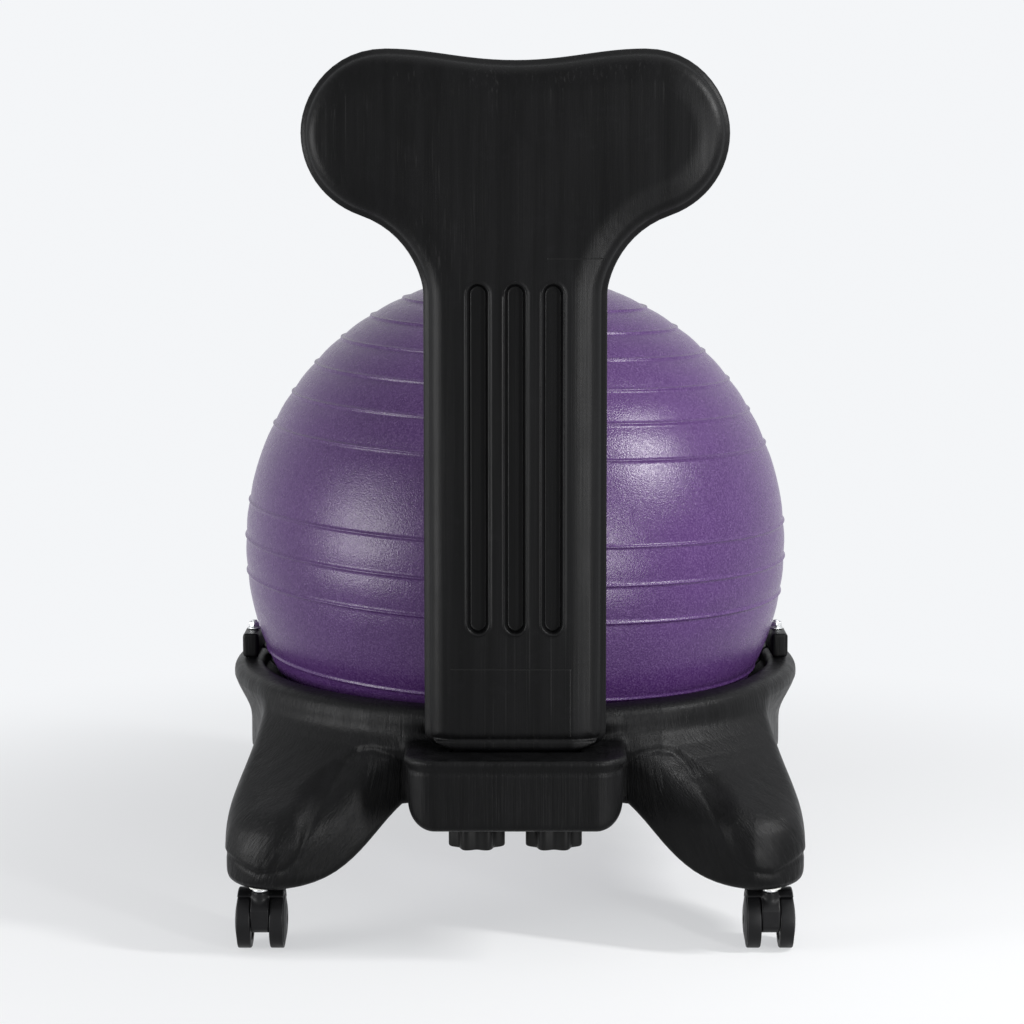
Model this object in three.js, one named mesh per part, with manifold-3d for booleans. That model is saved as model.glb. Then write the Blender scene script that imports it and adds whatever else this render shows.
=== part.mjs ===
// Balance ball chair: an inflated ball sits in a two-part blow-moulded base on four twin-wheel
// casters, and a backrest plugs into the rear half of the base, held by two star knobs.
// Millimetres, +Z up. The person sits facing +Y. The origin is on the floor in the middle of
// the chair's outer box; the pieces are drawn with the ball's axis at x = y = 0 and shifted.

import * as THREE from 'three';
import { mergeVertices } from 'three/addons/utils/BufferGeometryUtils.js';
import Module from 'manifold-3d';

const wasm = await Module();
wasm.setup();

// Clearances and cutting
const fitGap = 0.3;
const overrun = 4;
const weldDistance = 1e-4;
const mouldWall = 3.2;

// Ball
const ballRadius = 260;
const ballWall = 1.8;
const ballFloorHeight = 63;
const ballRibHeight = 1;
const ballSides = 40;
const bandStepAngle = 7.5;
const ribStartAngle = 24.5;
const ribStepAngle = 7.75;
const ribsEachWay = 6;
const capSteps = 3;
const liningSteps = 5;
const valveRadius = 5;
const valvePlugLength = 20;
const valveHeadRadius = 9;
const valveHeadThickness = 2;

// Ring that the ball sits in; its rim meets the ball at rimAngle below the ball's middle
const seatAngle = 43.2;
const rimAngle = 25.03;
const rimBallGap = 6.31;
const rimWidth = 29;
const rimOverhang = 16;
const rimBandHeight = 14;
const seatWidth = 70;
const ringDepth = 87;
const ringWaistRise = 30;
const lipRound = 9;

// Legs and their feet
const footInset = 32;
const footReach = 20;
const footHalf = 30;
const footBottom = 58.5;
const footShoulderRise = 35.5;
const footEdge = 5;
const legWaistInset = 10;
const legRootDepth = 42;
const crownRootDepth = 24;
const crownRise = 22;
const legTuck = 16;
const webInset = 6;
const webFootInset = 10;
const bandStartAngle = 57;
const bandStartProud = 9;
const archFootInset = 24;
const archSpan = 124;
const coneSides = 40;
const legWaistShare = 0.45;
const legFlareShare = 0.8;

// Handles of the cubic curves, as shares of the box between a curve's two ends
const archShares = [[0.6, 0.13], [0.7, 0.64]];
const crownShares = [[0.04, 0.5], [0.66, 0.38]];
const rimShares = [[0, 0.4], [0.7, 0.65]];
const neckShares = [[0, 0.17], [0.2, 0.78]];
const padLowerShares = [[0.56, 0.14], [1, 0.51]];
const padUpperShares = [[0, 0.44], [0.35, 1]];
const padTopShares = [[0.35, 0], [0.6, 1]];

// Lap joint at each side, where the front half's tab lies on the rear half's end
const lapHalf = 28;
const tabThickness = 23;
const tabInset = 9;
const tabWidth = 15.5;
const tabRamp = 34;
const tabRound = 5;
const tabFlatReach = 12;
const lapBoltDiameter = 6;
const lapPocketRadius = 10;
const lapClampThickness = 26;
const lapBoltTail = 1.5;
const lapNutAcross = 10;
const lapNutHeight = 5;
const lapHeadHeight = 4;
const lapWasherRadius = 6.5;
const lapWasherThickness = 1.6;
const boltSides = 12;

// Socket box behind the ring
const boxHalfWidth = 94.5;
const boxReach = 79;
const boxDrop = 29;
const boxHeight = 63;
const boxCornerRadius = 25;
const boxEdgeRound = 28;
const boxLipHeight = 8;
const boxLipProud = 1.5;
const socketFloor = 13;

// Backrest; a drop is measured down from the top of its lobes
const totalHeight = 787;
const lobeDip = 9.7;
const lobeX = 110;
const padHalfWidth = 182.5;
const padWidestDrop = 71;
const padLowerDrop = 141;
const neckDrop = 207.5;
const neckLowerX = 132.5;
const postHalfWidth = 78.7;
const postClearance = 6;
const postFootRise = 14;
const backrestInset = 30;
const backrestThickness = 36;
const backrestRound = 14;
const tongueSideInset = 22.7;
const tongueFaceInset = 3.5;
const curveSteps = 5;
const rimSteps = 3;

// Grooves down the back of the post
const grooveSpacing = 32;
const grooveWidth = 21;
const grooveTopDrop = 197;
const grooveBottomRise = 96;
const grooveDepth = 4;
const grooveFloorWidth = 13;

// Star knobs, their studs, and the threaded inserts in the tongue
const knobSpacing = 67;
const knobRadius = 25;
const knobLobes = 7;
const knobLobeDepth = 4.5;
const knobHeight = 20;
const knobEdge = 2;
const knobHubRadius = 10;
const knobHubHeight = 2;
const studDiameter = 10;
const studHeadLength = 12;
const insertRadius = 8;
const insertLength = 24;

// Casters
const wheelRadius = 25;
const wheelWidth = 12;
const wheelCapProud = 2.2;
const wheelCapRadius = 12;
const wheelGap = 16.5;
const wheelRound = 3;
const wheelSides = 16;
const casterTrail = 12;
const axleDiameter = 6;
const barrelRadius = 6.6;
const barrelBottom = 28;
const hoodClearance = 1;
const hoodThickness = 2.4;
const hoodStartAngle = 30;
const hoodEndAngle = 120;
const hoodSteps = 6;
const webReach = 23.5;
const webDrop = 10;
const stemDiameter = 8;
const stemCollarRadius = 7;
const stemCollarHeight = 2;
const stemLength = 34;
const stemSeatDepth = 14;
const socketRadius = 7.5;
const socketFlangeRadius = 9.5;
const socketFlangeHeight = 1.6;
const ventRadius = 1.6;

// Sizes that follow from the ones above
const DEGREE = Math.PI / 180;
const ballHeight = ballFloorHeight + ballRadius;
const boltRadius = lapBoltDiameter / 2;
const studRadius = studDiameter / 2;
const stemRadius = stemDiameter / 2;
const axleRadius = axleDiameter / 2;

const rimDrop = ballRadius * Math.sin(rimAngle * DEGREE);
const rimTop = ballHeight - rimDrop;
const rimUnder = rimTop - rimBandHeight;
const ringUnderside = rimTop - ringDepth;
const ringWaist = ringUnderside + ringWaistRise;
const lipInnerRadius = Math.sqrt((ballRadius + ballRibHeight) ** 2 - rimDrop ** 2) + rimBallGap;
const rimOuterRadius = lipInnerRadius + rimWidth;
const ringBodyRadius = rimOuterRadius - rimOverhang;
const seatInnerRadius = ringBodyRadius - seatWidth;

const footX = ringBodyRadius - footInset;
const footY = ringBodyRadius + footReach;
const footShoulder = footBottom + footShoulderRise;
const legWaistX = ringBodyRadius - legWaistInset;
const legInnerRadius = ringBodyRadius - legRootDepth;
const crownInnerRadius = ringBodyRadius - crownRootDepth;
const legTop = ringWaist + crownRise;
const bandStartX = (ringBodyRadius + bandStartProud) * Math.cos(bandStartAngle * DEGREE);
const bandStartY = (ringBodyRadius + bandStartProud) * Math.sin(bandStartAngle * DEGREE);

const tabOuter = rimOuterRadius - tabInset;
const tabInner = tabOuter - tabWidth;
const lapBoltX = tabInner + lapWasherRadius;

const boxRear = ringBodyRadius + boxReach;
const boxFront = ringBodyRadius - webInset;
const boxTop = rimTop - boxDrop;
const boxBottom = boxTop - boxHeight;
const postBottom = boxTop + postClearance;
const backrestRear = boxRear - backrestInset;
const backrestFront = backrestRear - backrestThickness;
const backrestMiddle = backrestRear - backrestThickness / 2;
const tongueHalfWidth = postHalfWidth - tongueSideInset;
const tongueThickness = backrestThickness - 2 * tongueFaceInset;
const tongueBottom = boxBottom + socketFloor;
const grooveTop = totalHeight - grooveTopDrop;
const grooveBottom = postBottom + grooveBottomRise;

const frontReach = footY + casterTrail + wheelRadius;
const shiftY = (boxRear + boxLipProud - frontReach) / 2;

const materials = {
  blackPlastic: new THREE.MeshStandardMaterial({ color: 0x232426, roughness: 0.5, metalness: 0 }),
  wheelPlastic: new THREE.MeshStandardMaterial({ color: 0x18191a, roughness: 0.6, metalness: 0 }),
  purpleVinyl: new THREE.MeshStandardMaterial({ color: 0x4a2c63, roughness: 0.35, metalness: 0 }),
  whitePlastic: new THREE.MeshStandardMaterial({ color: 0xdcdcd8, roughness: 0.5, metalness: 0 }),
  zincSteel: new THREE.MeshStandardMaterial({ color: 0xb4b6b8, roughness: 0.35, metalness: 1 }),
  brass: new THREE.MeshStandardMaterial({ color: 0xb08d4a, roughness: 0.4, metalness: 1 }),
};

const vector = (x, y) => new THREE.Vector2(x, y);

// A closed geometry as a solid that can be joined and cut
function solid(geometry) {
  const bare = geometry.clone();
  bare.deleteAttribute('normal');
  bare.deleteAttribute('uv');
  const merged = mergeVertices(bare, weldDistance);
  const corners = merged.index.array;
  const triangles = [];
  for (let i = 0; i < corners.length; i += 3) {
    const [a, b, c] = [corners[i], corners[i + 1], corners[i + 2]];
    if (a !== b && b !== c && c !== a) {
      triangles.push(a, b, c);
    }
  }
  return new wasm.Manifold(new wasm.Mesh({
    numProp: 3,
    vertProperties: new Float32Array(merged.attributes.position.array),
    triVerts: new Uint32Array(triangles),
  }));
}

function joined(solids) {
  return solids.reduce((sum, next) => sum.add(next));
}

// The finished mesh of one sub-part
function piece(name, shape, material) {
  const mesh = shape.getMesh();
  const geometry = new THREE.BufferGeometry();
  geometry.setAttribute('position', new THREE.BufferAttribute(mesh.vertProperties, mesh.numProp));
  geometry.setIndex(new THREE.BufferAttribute(mesh.triVerts, 1));
  geometry.computeVertexNormals();
  const result = new THREE.Mesh(geometry, material);
  result.name = name;
  return result;
}

// Every edge of a closed outline moved inward by a distance, or outward if it is negative
function inset(points, distance) {
  const turn = Math.sign(THREE.ShapeUtils.area(points));
  const inward = (from, to) => {
    const along = to.clone().sub(from).normalize();
    return vector(-along.y * turn, along.x * turn);
  };
  return points.map((point, i) => {
    const before = points.at(i - 1);
    const after = points[(i + 1) % points.length];
    const middle = inward(before, point).add(inward(point, after));
    return point.clone().addScaledVector(middle, 2 * distance / middle.lengthSq());
  });
}

// Outline in x and y, from one height to another
function prismZ(points, low, high) {
  const geometry = new THREE.ExtrudeGeometry(new THREE.Shape(points), {
    depth: high - low,
    bevelEnabled: false,
  });
  return solid(geometry.translate(0, 0, low));
}

// Outline in x and z, from one y to another
function prismY(points, low, high) {
  const geometry = new THREE.ExtrudeGeometry(new THREE.Shape(points), {
    depth: high - low,
    bevelEnabled: false,
  });
  return solid(geometry.rotateX(Math.PI / 2).translate(0, high, 0));
}

// Outline in y and z, from one x to another
function prismX(points, low, high) {
  const geometry = new THREE.ExtrudeGeometry(new THREE.Shape(points), {
    depth: high - low,
    bevelEnabled: false,
  });
  const axes = new THREE.Matrix4().makeBasis(
    new THREE.Vector3(0, 1, 0),
    new THREE.Vector3(0, 0, 1),
    new THREE.Vector3(1, 0, 0),
  );
  return solid(geometry.applyMatrix4(axes).translate(low, 0, 0));
}

// Outline in x and z with rounded edges, between two y planes
function cushionY(points, low, high, round, shrink = 0) {
  const bevel = Math.max(round - shrink, round / 4);
  const geometry = new THREE.ExtrudeGeometry(new THREE.Shape(points), {
    depth: high - low - 2 * bevel - 2 * shrink,
    bevelThickness: bevel,
    bevelSize: bevel,
    bevelOffset: -bevel - shrink,
    bevelSegments: shrink > 0 ? 1 : 3,
  });
  return solid(geometry.rotateX(Math.PI / 2).translate(0, high - shrink - bevel, 0));
}

// A profile of radius and height turned about the Z axis; it is listed anticlockwise
function turned(profile, sides) {
  const closed = [...profile, profile[0]];
  const geometry = new THREE.LatheGeometry(closed, sides);
  return solid(geometry.rotateX(Math.PI / 2));
}

function cylinder(radius, low, high, sides) {
  return turned([vector(0, low), vector(radius, low), vector(radius, high), vector(0, high)], sides);
}

function boxBetween(x0, x1, y0, y1, z0, z1) {
  const geometry = new THREE.BoxGeometry(x1 - x0, y1 - y0, z1 - z0);
  return solid(geometry.translate((x0 + x1) / 2, (y0 + y1) / 2, (z0 + z1) / 2));
}

// Points of a cubic curve whose two handles are shares of the box between its ends
function curve(start, end, shares, steps = curveSteps) {
  const handles = shares.map(([across, up]) => vector(
    start.x + (end.x - start.x) * across,
    start.y + (end.y - start.y) * up,
  ));
  return new THREE.CubicBezierCurve(start, ...handles, end).getPoints(steps);
}

// Points on the ball's surface at a latitude, as radius and height
function onBall(latitude, radius) {
  return vector(
    radius * Math.cos(latitude * DEGREE),
    ballHeight + radius * Math.sin(latitude * DEGREE),
  );
}

// Ball: a thin skin with raised ribs round it, and a valve hole in the bottom

function ribLatitudes() {
  const upper = [0, bandStepAngle];
  for (let i = 0; i < ribsEachWay; i += 1) {
    upper.push(ribStartAngle + i * ribStepAngle);
  }
  const lower = upper.slice(1).map((latitude) => -latitude).reverse();
  return [...lower, ...upper];
}

function makeBall() {
  const ribs = ribLatitudes();
  const last = ribs.at(-1);
  const holeLatitude = -Math.acos((valveRadius + fitGap) / ballRadius) / DEGREE;
  const outside = [onBall(holeLatitude, ballRadius)];
  for (let i = 1; i <= capSteps; i += 1) {
    outside.push(onBall(holeLatitude + (-last - holeLatitude) * i / (capSteps + 1), ballRadius));
  }
  ribs.forEach((latitude, i) => {
    outside.push(onBall(latitude, ballRadius + ballRibHeight));
    if (i + 1 < ribs.length) {
      outside.push(onBall((latitude + ribs[i + 1]) / 2, ballRadius));
    }
  });
  for (let i = 1; i <= capSteps; i += 1) {
    outside.push(onBall(last + (90 - last) * i / (capSteps + 1), ballRadius));
  }
  outside.push(vector(0, ballHeight + ballRadius));
  outside.push(vector(0, outside[0].y));
  const lining = Array.from({ length: 2 * liningSteps + 1 }, (_, i) => (
    onBall(-90 + 90 * i / liningSteps, ballRadius - ballWall)
  ));
  const ball = turned(outside, ballSides)
    .subtract(turned(lining, ballSides / 2))
    .subtract(cylinder(valveRadius + fitGap, 0, ballHeight, boltSides));
  return piece('ball', ball, materials.purpleVinyl);
}

function makeValvePlug() {
  const top = ballFloorHeight + valvePlugLength;
  const headTop = ballFloorHeight - fitGap;
  const plug = turned([
    vector(0, headTop - valveHeadThickness),
    vector(valveHeadRadius, headTop - valveHeadThickness),
    vector(valveHeadRadius, headTop),
    vector(valveRadius, headTop),
    vector(valveRadius, (headTop + top) / 2),
    vector(valveRadius / 2, top),
    vector(0, top),
  ], boltSides);
  return piece('valve_plug', plug, materials.whitePlastic);
}

// Base halves: a ring with a conical seat, two legs and, on the rear half, the socket box

// The seat line lies a small gap off the ball's ribs
function seatHeight(radius) {
  const reach = ballRadius + ballRibHeight + fitGap;
  const along = (radius - reach * Math.cos(seatAngle * DEGREE)) / Math.sin(seatAngle * DEGREE);
  return ballHeight - reach * Math.sin(seatAngle * DEGREE) + along * Math.cos(seatAngle * DEGREE);
}

function ringProfile() {
  const corner = (x, z, from) => [0, 1, 2].map((i) => vector(
    x + lipRound * Math.cos((from + 45 * i) * DEGREE),
    z + lipRound * Math.sin((from + 45 * i) * DEGREE),
  ));
  const waist = vector(ringBodyRadius, ringWaist);
  return [
    vector(seatInnerRadius, ringUnderside),
    vector(ringBodyRadius - lipRound, ringUnderside),
    vector(ringBodyRadius, ringUnderside + lipRound),
    ...curve(waist, vector(rimOuterRadius, rimUnder), rimShares, rimSteps),
    ...corner(rimOuterRadius - lipRound, rimTop - lipRound, 0),
    vector(lipInnerRadius + lipRound, rimTop),
    vector(lipInnerRadius + lipRound / 3, rimTop - lipRound / 3),
    vector(lipInnerRadius, seatHeight(lipInnerRadius)),
    vector(seatInnerRadius, seatHeight(seatInnerRadius)),
  ];
}

function archOutline(footCentre, way, grow) {
  const start = vector(way * (footCentre - archFootInset), footBottom);
  const end = vector(way * (footCentre - archSpan), ringUnderside);
  return inset([
    vector(start.x, footBottom - 2 * overrun),
    ...curve(start, end, archShares),
    vector(0, ringUnderside),
    vector(0, footBottom - 2 * overrun),
  ], -grow);
}

// The upper surface of a leg falls from the ring to the foot's shoulder, the same all round
function legCrown(shrink) {
  const reach = Math.hypot(footX, footY) + footHalf;
  return inset([
    vector(legInnerRadius, footBottom),
    vector(reach - footEdge, footBottom),
    vector(reach, footBottom + footEdge),
    ...curve(vector(reach, footShoulder), vector(ringBodyRadius, legTop), crownShares),
    vector(crownInnerRadius, legTop),
    vector(legInnerRadius, ringWaist),
  ], shrink);
}

// One leg block in the corner that sideX and sideY point to
function makeLeg(sideX, sideY, shrink) {
  const at = (x, y) => vector(sideX * x, sideY * y);
  const outerX = footX + footHalf;
  const outerY = footY + footHalf;
  const footCorner = [0, 22.5, 45, 67.5, 90].map((angle) => at(
    footX + footHalf * Math.cos(angle * DEGREE),
    footY + footHalf * Math.sin(angle * DEGREE),
  ));
  const band = [
    at(legInnerRadius, 0),
    at(ringBodyRadius - legTuck, 0),
    at(legWaistX, footY * legWaistShare),
    at((legWaistX + 3 * outerX) / 4, footY * legFlareShare),
    ...footCorner,
    at(footX - footHalf, outerY - footEdge),
    at(bandStartX, bandStartY),
    at(bandStartX, bandStartY / 2),
  ];
  const web = [
    at(boxHalfWidth - overrun, boxFront - lipRound),
    at(boxHalfWidth - overrun, boxFront),
    at(footX - footHalf, outerY - webFootInset),
    at(footX - footHalf, footY - footHalf),
    at(bandStartX, bandStartY - footHalf),
  ];
  const blocks = prismZ(inset(band, shrink), footBottom, legTop)
    .add(prismZ(inset(web, shrink), footBottom, legTop));
  const arches = prismY(archOutline(footX, sideX, shrink), -2 * footY, 2 * footY)
    .add(prismX(archOutline(footY, sideY, shrink), -2 * footX, 2 * footX));
  const sides = shrink > 0 ? coneSides / 2 : coneSides;
  return blocks.intersect(turned(legCrown(shrink), sides)).subtract(arches);
}

// The half of space that one half of the base fills
function ownSide(sideY, shrink) {
  const far = boxRear + rimOuterRadius;
  return sideY < 0
    ? boxBetween(-far, far, -far, lapHalf - shrink, 0, totalHeight)
    : boxBetween(-far, far, lapHalf + fitGap + shrink, far, 0, totalHeight);
}

// The front half's tab at one side: it lies on the rear half's end and ramps down to the rim
function makeTab(sideX) {
  const seat = rimTop + fitGap;
  const top = seat + tabThickness;
  const ramp = lapHalf + fitGap;
  const outline = [
    vector(-lapHalf, seat),
    vector(ramp, seat),
    vector(ramp, rimTop - lipRound),
    vector(ramp + tabRamp, rimTop - lipRound),
    vector(ramp + tabRamp, rimTop - lipRound / 2),
    vector(tabFlatReach, top),
    vector(-lapHalf + tabRound, top),
    vector(-lapHalf, top - tabRound),
  ];
  return sideX > 0 ? prismX(outline, tabInner, tabOuter) : prismX(outline, -tabOuter, -tabInner);
}

function shifted(shape, x, y) {
  return shape.translate([x, y, 0]);
}

function bothSides(make) {
  return joined([-1, 1].map((side) => make(side)));
}

// Holes and their walls for the caster sockets in one half
function casterBores(sideY, radius, top) {
  return bothSides((sideX) => shifted(
    cylinder(radius, footBottom - overrun, top, boltSides),
    sideX * footX,
    sideY * footY,
  ));
}

function makeShell(sideY, form, bosses) {
  const cavity = form(mouldWall).subtract(bosses);
  const vent = shifted(
    cylinder(ventRadius, ringUnderside - overrun, ringUnderside + 2 * mouldWall, boltSides / 2),
    0,
    sideY * (seatInnerRadius + ringBodyRadius) / 2,
  );
  return form(0).subtract(cavity).subtract(vent);
}

const socketTop = footBottom + stemLength;

function baseForm(sideY, shrink) {
  const sides = shrink > 0 ? ballSides : 2 * ballSides;
  const ring = turned(inset(ringProfile(), shrink), sides);
  return ring
    .add(bothSides((sideX) => makeLeg(sideX, sideY, shrink)))
    .intersect(ownSide(sideY, shrink));
}

function makeFrontBase() {
  const bosses = casterBores(1, socketRadius + fitGap + mouldWall, socketTop + mouldWall);
  const shell = makeShell(1, (shrink) => baseForm(1, shrink), bosses);
  const bolts = bothSides((sideX) => shifted(
    cylinder(boltRadius + fitGap, rimTop, rimTop + 2 * tabThickness, boltSides),
    sideX * lapBoltX,
    0,
  ));
  const front = shell
    .add(bothSides(makeTab))
    .subtract(bolts)
    .subtract(casterBores(1, socketRadius + fitGap, socketTop));
  return piece('front_base', front, materials.blackPlastic);
}

function roundedRectangle(halfWidth, low, high, radius) {
  const corners = [
    [halfWidth - radius, low + radius, -90],
    [halfWidth - radius, high - radius, 0],
    [-halfWidth + radius, high - radius, 90],
    [-halfWidth + radius, low + radius, 180],
  ];
  return corners.flatMap(([x, y, from]) => [0, 30, 60, 90].map((angle) => vector(
    x + radius * Math.cos((from + angle) * DEGREE),
    y + radius * Math.sin((from + angle) * DEGREE),
  )));
}

// Seen from behind the box has round lower corners; from above it has round rear corners
function boxForm(shrink) {
  const front = -boxFront;
  const rear = -boxRear;
  const face = roundedRectangle(boxHalfWidth, boxBottom, boxTop + boxCornerRadius, boxCornerRadius);
  const plan = roundedRectangle(boxHalfWidth, rear, front + boxEdgeRound, boxEdgeRound);
  const lip = roundedRectangle(
    boxHalfWidth + boxLipProud,
    rear - boxLipProud,
    front + boxEdgeRound,
    boxEdgeRound + boxLipProud,
  );
  const body = prismY(inset(face, shrink), rear + shrink, front)
    .intersect(prismZ(inset(plan, shrink), boxBottom, boxTop - shrink));
  return body.add(prismZ(inset(lip, shrink), boxTop - boxLipHeight + shrink, boxTop - shrink));
}

function socketSpace(grow) {
  const halfWidth = tongueHalfWidth + fitGap + grow;
  const halfDepth = tongueThickness / 2 + fitGap + grow;
  return boxBetween(
    -halfWidth,
    halfWidth,
    -backrestMiddle - halfDepth,
    -backrestMiddle + halfDepth,
    tongueBottom - fitGap - grow,
    totalHeight,
  );
}

function atKnobs(make) {
  return bothSides((sideX) => shifted(make(), sideX * knobSpacing / 2, -backrestMiddle));
}

function makeRearBase() {
  const lapPockets = (grow) => bothSides((sideX) => shifted(
    cylinder(
      lapPocketRadius + grow,
      ringUnderside - overrun,
      rimTop - lapClampThickness + grow,
      boltSides,
    ),
    sideX * lapBoltX,
    0,
  ));
  const bosses = casterBores(-1, socketRadius + fitGap + mouldWall, socketTop + mouldWall)
    .add(socketSpace(mouldWall))
    .add(lapPockets(mouldWall))
    .add(bothSides((sideX) => shifted(
      cylinder(lapWasherRadius + mouldWall, ringUnderside, totalHeight, boltSides),
      sideX * lapBoltX,
      0,
    )))
    .add(atKnobs(() => cylinder(studRadius + fitGap + mouldWall, boxBottom, boxTop, boltSides)));
  const form = (shrink) => baseForm(-1, shrink).add(boxForm(shrink));
  const postSpace = boxBetween(
    -postHalfWidth - fitGap,
    postHalfWidth + fitGap,
    -boxRear - rimOuterRadius,
    -backrestFront + fitGap,
    boxTop,
    totalHeight,
  );
  const rear = makeShell(-1, form, bosses.add(postWall()))
    .subtract(postSpace)
    .subtract(socketSpace(0))
    .subtract(atKnobs(() => cylinder(studRadius + fitGap, 0, boxTop, boltSides)))
    .subtract(lapPockets(0))
    .subtract(bothSides((sideX) => shifted(
      cylinder(boltRadius + fitGap, ringUnderside, totalHeight, boltSides),
      sideX * lapBoltX,
      0,
    )))
    .subtract(casterBores(-1, socketRadius + fitGap, socketTop));
  return piece('rear_base', rear, materials.blackPlastic);
}

// Where the rim is cut flat for the post, its wall is kept behind the cut
function postWall() {
  return boxBetween(
    -postHalfWidth - fitGap - mouldWall,
    postHalfWidth + fitGap + mouldWall,
    -boxRear - rimOuterRadius,
    -backrestFront + fitGap + mouldWall,
    boxTop - mouldWall,
    totalHeight,
  );
}

// Backrest: a wide two-lobed pad on a post, and a tongue that plugs into the box

function backrestOutline() {
  const neck = vector(postHalfWidth, totalHeight - neckDrop);
  const lower = vector(neckLowerX, totalHeight - padLowerDrop);
  const widest = vector(padHalfWidth, totalHeight - padWidestDrop);
  const lobe = vector(lobeX, totalHeight);
  const dip = vector(0, totalHeight - lobeDip);
  const half = [
    vector(tongueHalfWidth, postBottom),
    vector(postHalfWidth, postBottom + postFootRise),
    ...curve(neck, lower, neckShares),
    ...curve(lower, widest, padLowerShares).slice(1),
    ...curve(widest, lobe, padUpperShares).slice(1),
    ...curve(lobe, dip, padTopShares).slice(1),
  ];
  const mirrored = half.slice(0, -1).map((p) => vector(-p.x, p.y)).reverse();
  return [...half, ...mirrored];
}

function grooveOutline(width, margin) {
  const radius = width / 2;
  const end = grooveWidth / 2 + margin;
  const arc = (z, from) => [0, 45, 90, 135, 180].map((angle) => vector(
    radius * Math.cos((from + angle) * DEGREE),
    z + radius * Math.sin((from + angle) * DEGREE),
  ));
  return [...arc(grooveTop - end, 0), ...arc(grooveBottom + end, 180)];
}

function makeBackrest() {
  const outline = backrestOutline();
  const pad = (shrink) => cushionY(outline, -backrestRear, -backrestFront, backrestRound, shrink);
  const tongue = (shrink) => boxBetween(
    -tongueHalfWidth + shrink,
    tongueHalfWidth - shrink,
    -backrestMiddle - tongueThickness / 2 + shrink,
    -backrestMiddle + tongueThickness / 2 - shrink,
    tongueBottom + shrink,
    postBottom + backrestRound + shrink,
  );
  const grooves = (grow) => joined([-1, 0, 1].map((i) => prismY(
    inset(grooveOutline(grooveWidth, 0), -grow),
    -backrestRear - overrun,
    -backrestRear + grooveDepth / 2 + grow,
  ).add(prismY(
    inset(grooveOutline(grooveFloorWidth, 0), -grow),
    -backrestRear - overrun,
    -backrestRear + grooveDepth + grow,
  )).translate([i * grooveSpacing, 0, 0])));
  const bosses = atKnobs(() => cylinder(
    insertRadius + fitGap + mouldWall,
    tongueBottom,
    tongueBottom + insertLength + studRadius + mouldWall,
    boltSides,
  ));
  const cavity = pad(mouldWall).add(tongue(mouldWall))
    .subtract(grooves(mouldWall))
    .subtract(bosses);
  const insertHoles = atKnobs(() => cylinder(
    insertRadius + fitGap,
    tongueBottom - overrun,
    tongueBottom + insertLength,
    boltSides,
  ));
  const studHoles = atKnobs(() => cylinder(
    studRadius + fitGap,
    tongueBottom,
    tongueBottom + insertLength + studRadius,
    boltSides,
  ));
  const vent = shifted(
    cylinder(ventRadius, tongueBottom - overrun, tongueBottom + 2 * mouldWall, boltSides / 2),
    0,
    -backrestMiddle,
  );
  const shell = pad(0).add(tongue(0)).subtract(grooves(0)).subtract(cavity);
  return piece(
    'backrest',
    shell.subtract(insertHoles).subtract(studHoles).subtract(vent),
    materials.blackPlastic,
  );
}

// Star knobs under the box: a moulded head, its steel stud, and the insert that it screws into

const knobTop = boxBottom - fitGap;
const knobBottom = knobTop - knobHubHeight - knobHeight;

function starOutline(radius) {
  const steps = 6 * knobLobes;
  return Array.from({ length: steps }, (_, i) => {
    const angle = 2 * Math.PI * i / steps;
    const reach = radius - knobLobeDepth * (0.5 - 0.5 * Math.cos(knobLobes * angle));
    return vector(reach * Math.sin(angle), reach * Math.cos(angle));
  });
}

function makeKnob(sideName, x) {
  const group = new THREE.Group();
  group.position.set(x, -backrestMiddle, 0);
  const grip = knobTop - knobHubHeight;
  const head = prismZ(starOutline(knobRadius), knobBottom + knobEdge, grip - knobEdge)
    .add(prismZ(starOutline(knobRadius - knobEdge), knobBottom, grip))
    .add(cylinder(knobHubRadius, grip - knobEdge, knobTop, boltSides))
    .subtract(cylinder(studRadius + fitGap, grip - studHeadLength, boxBottom, boltSides));
  const studBottom = grip - studHeadLength + fitGap;
  const stud = cylinder(studRadius, studBottom, tongueBottom + insertLength, boltSides);
  const insert = turned([
    vector(studRadius + fitGap, tongueBottom),
    vector(insertRadius, tongueBottom),
    vector(insertRadius, tongueBottom + insertLength - fitGap),
    vector(studRadius + fitGap, tongueBottom + insertLength - fitGap),
  ], boltSides);
  group.add(
    piece(`knob_head_${sideName}`, head, materials.blackPlastic),
    piece(`knob_stud_${sideName}`, stud, materials.zincSteel),
    piece(`threaded_insert_${sideName}`, insert, materials.brass),
  );
  return group;
}

// Lap bolts: hex head and washer under the rim, washer and nut on the tab

function hexagon(across) {
  return [0, 60, 120, 180, 240, 300].map((angle) => vector(
    across / 2 / Math.cos(30 * DEGREE) * Math.cos((angle + 30) * DEGREE),
    across / 2 / Math.cos(30 * DEGREE) * Math.sin((angle + 30) * DEGREE),
  ));
}

function washer(bottom) {
  return turned([
    vector(boltRadius + fitGap, bottom),
    vector(lapWasherRadius, bottom),
    vector(lapWasherRadius, bottom + lapWasherThickness),
    vector(boltRadius + fitGap, bottom + lapWasherThickness),
  ], boltSides);
}

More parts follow.
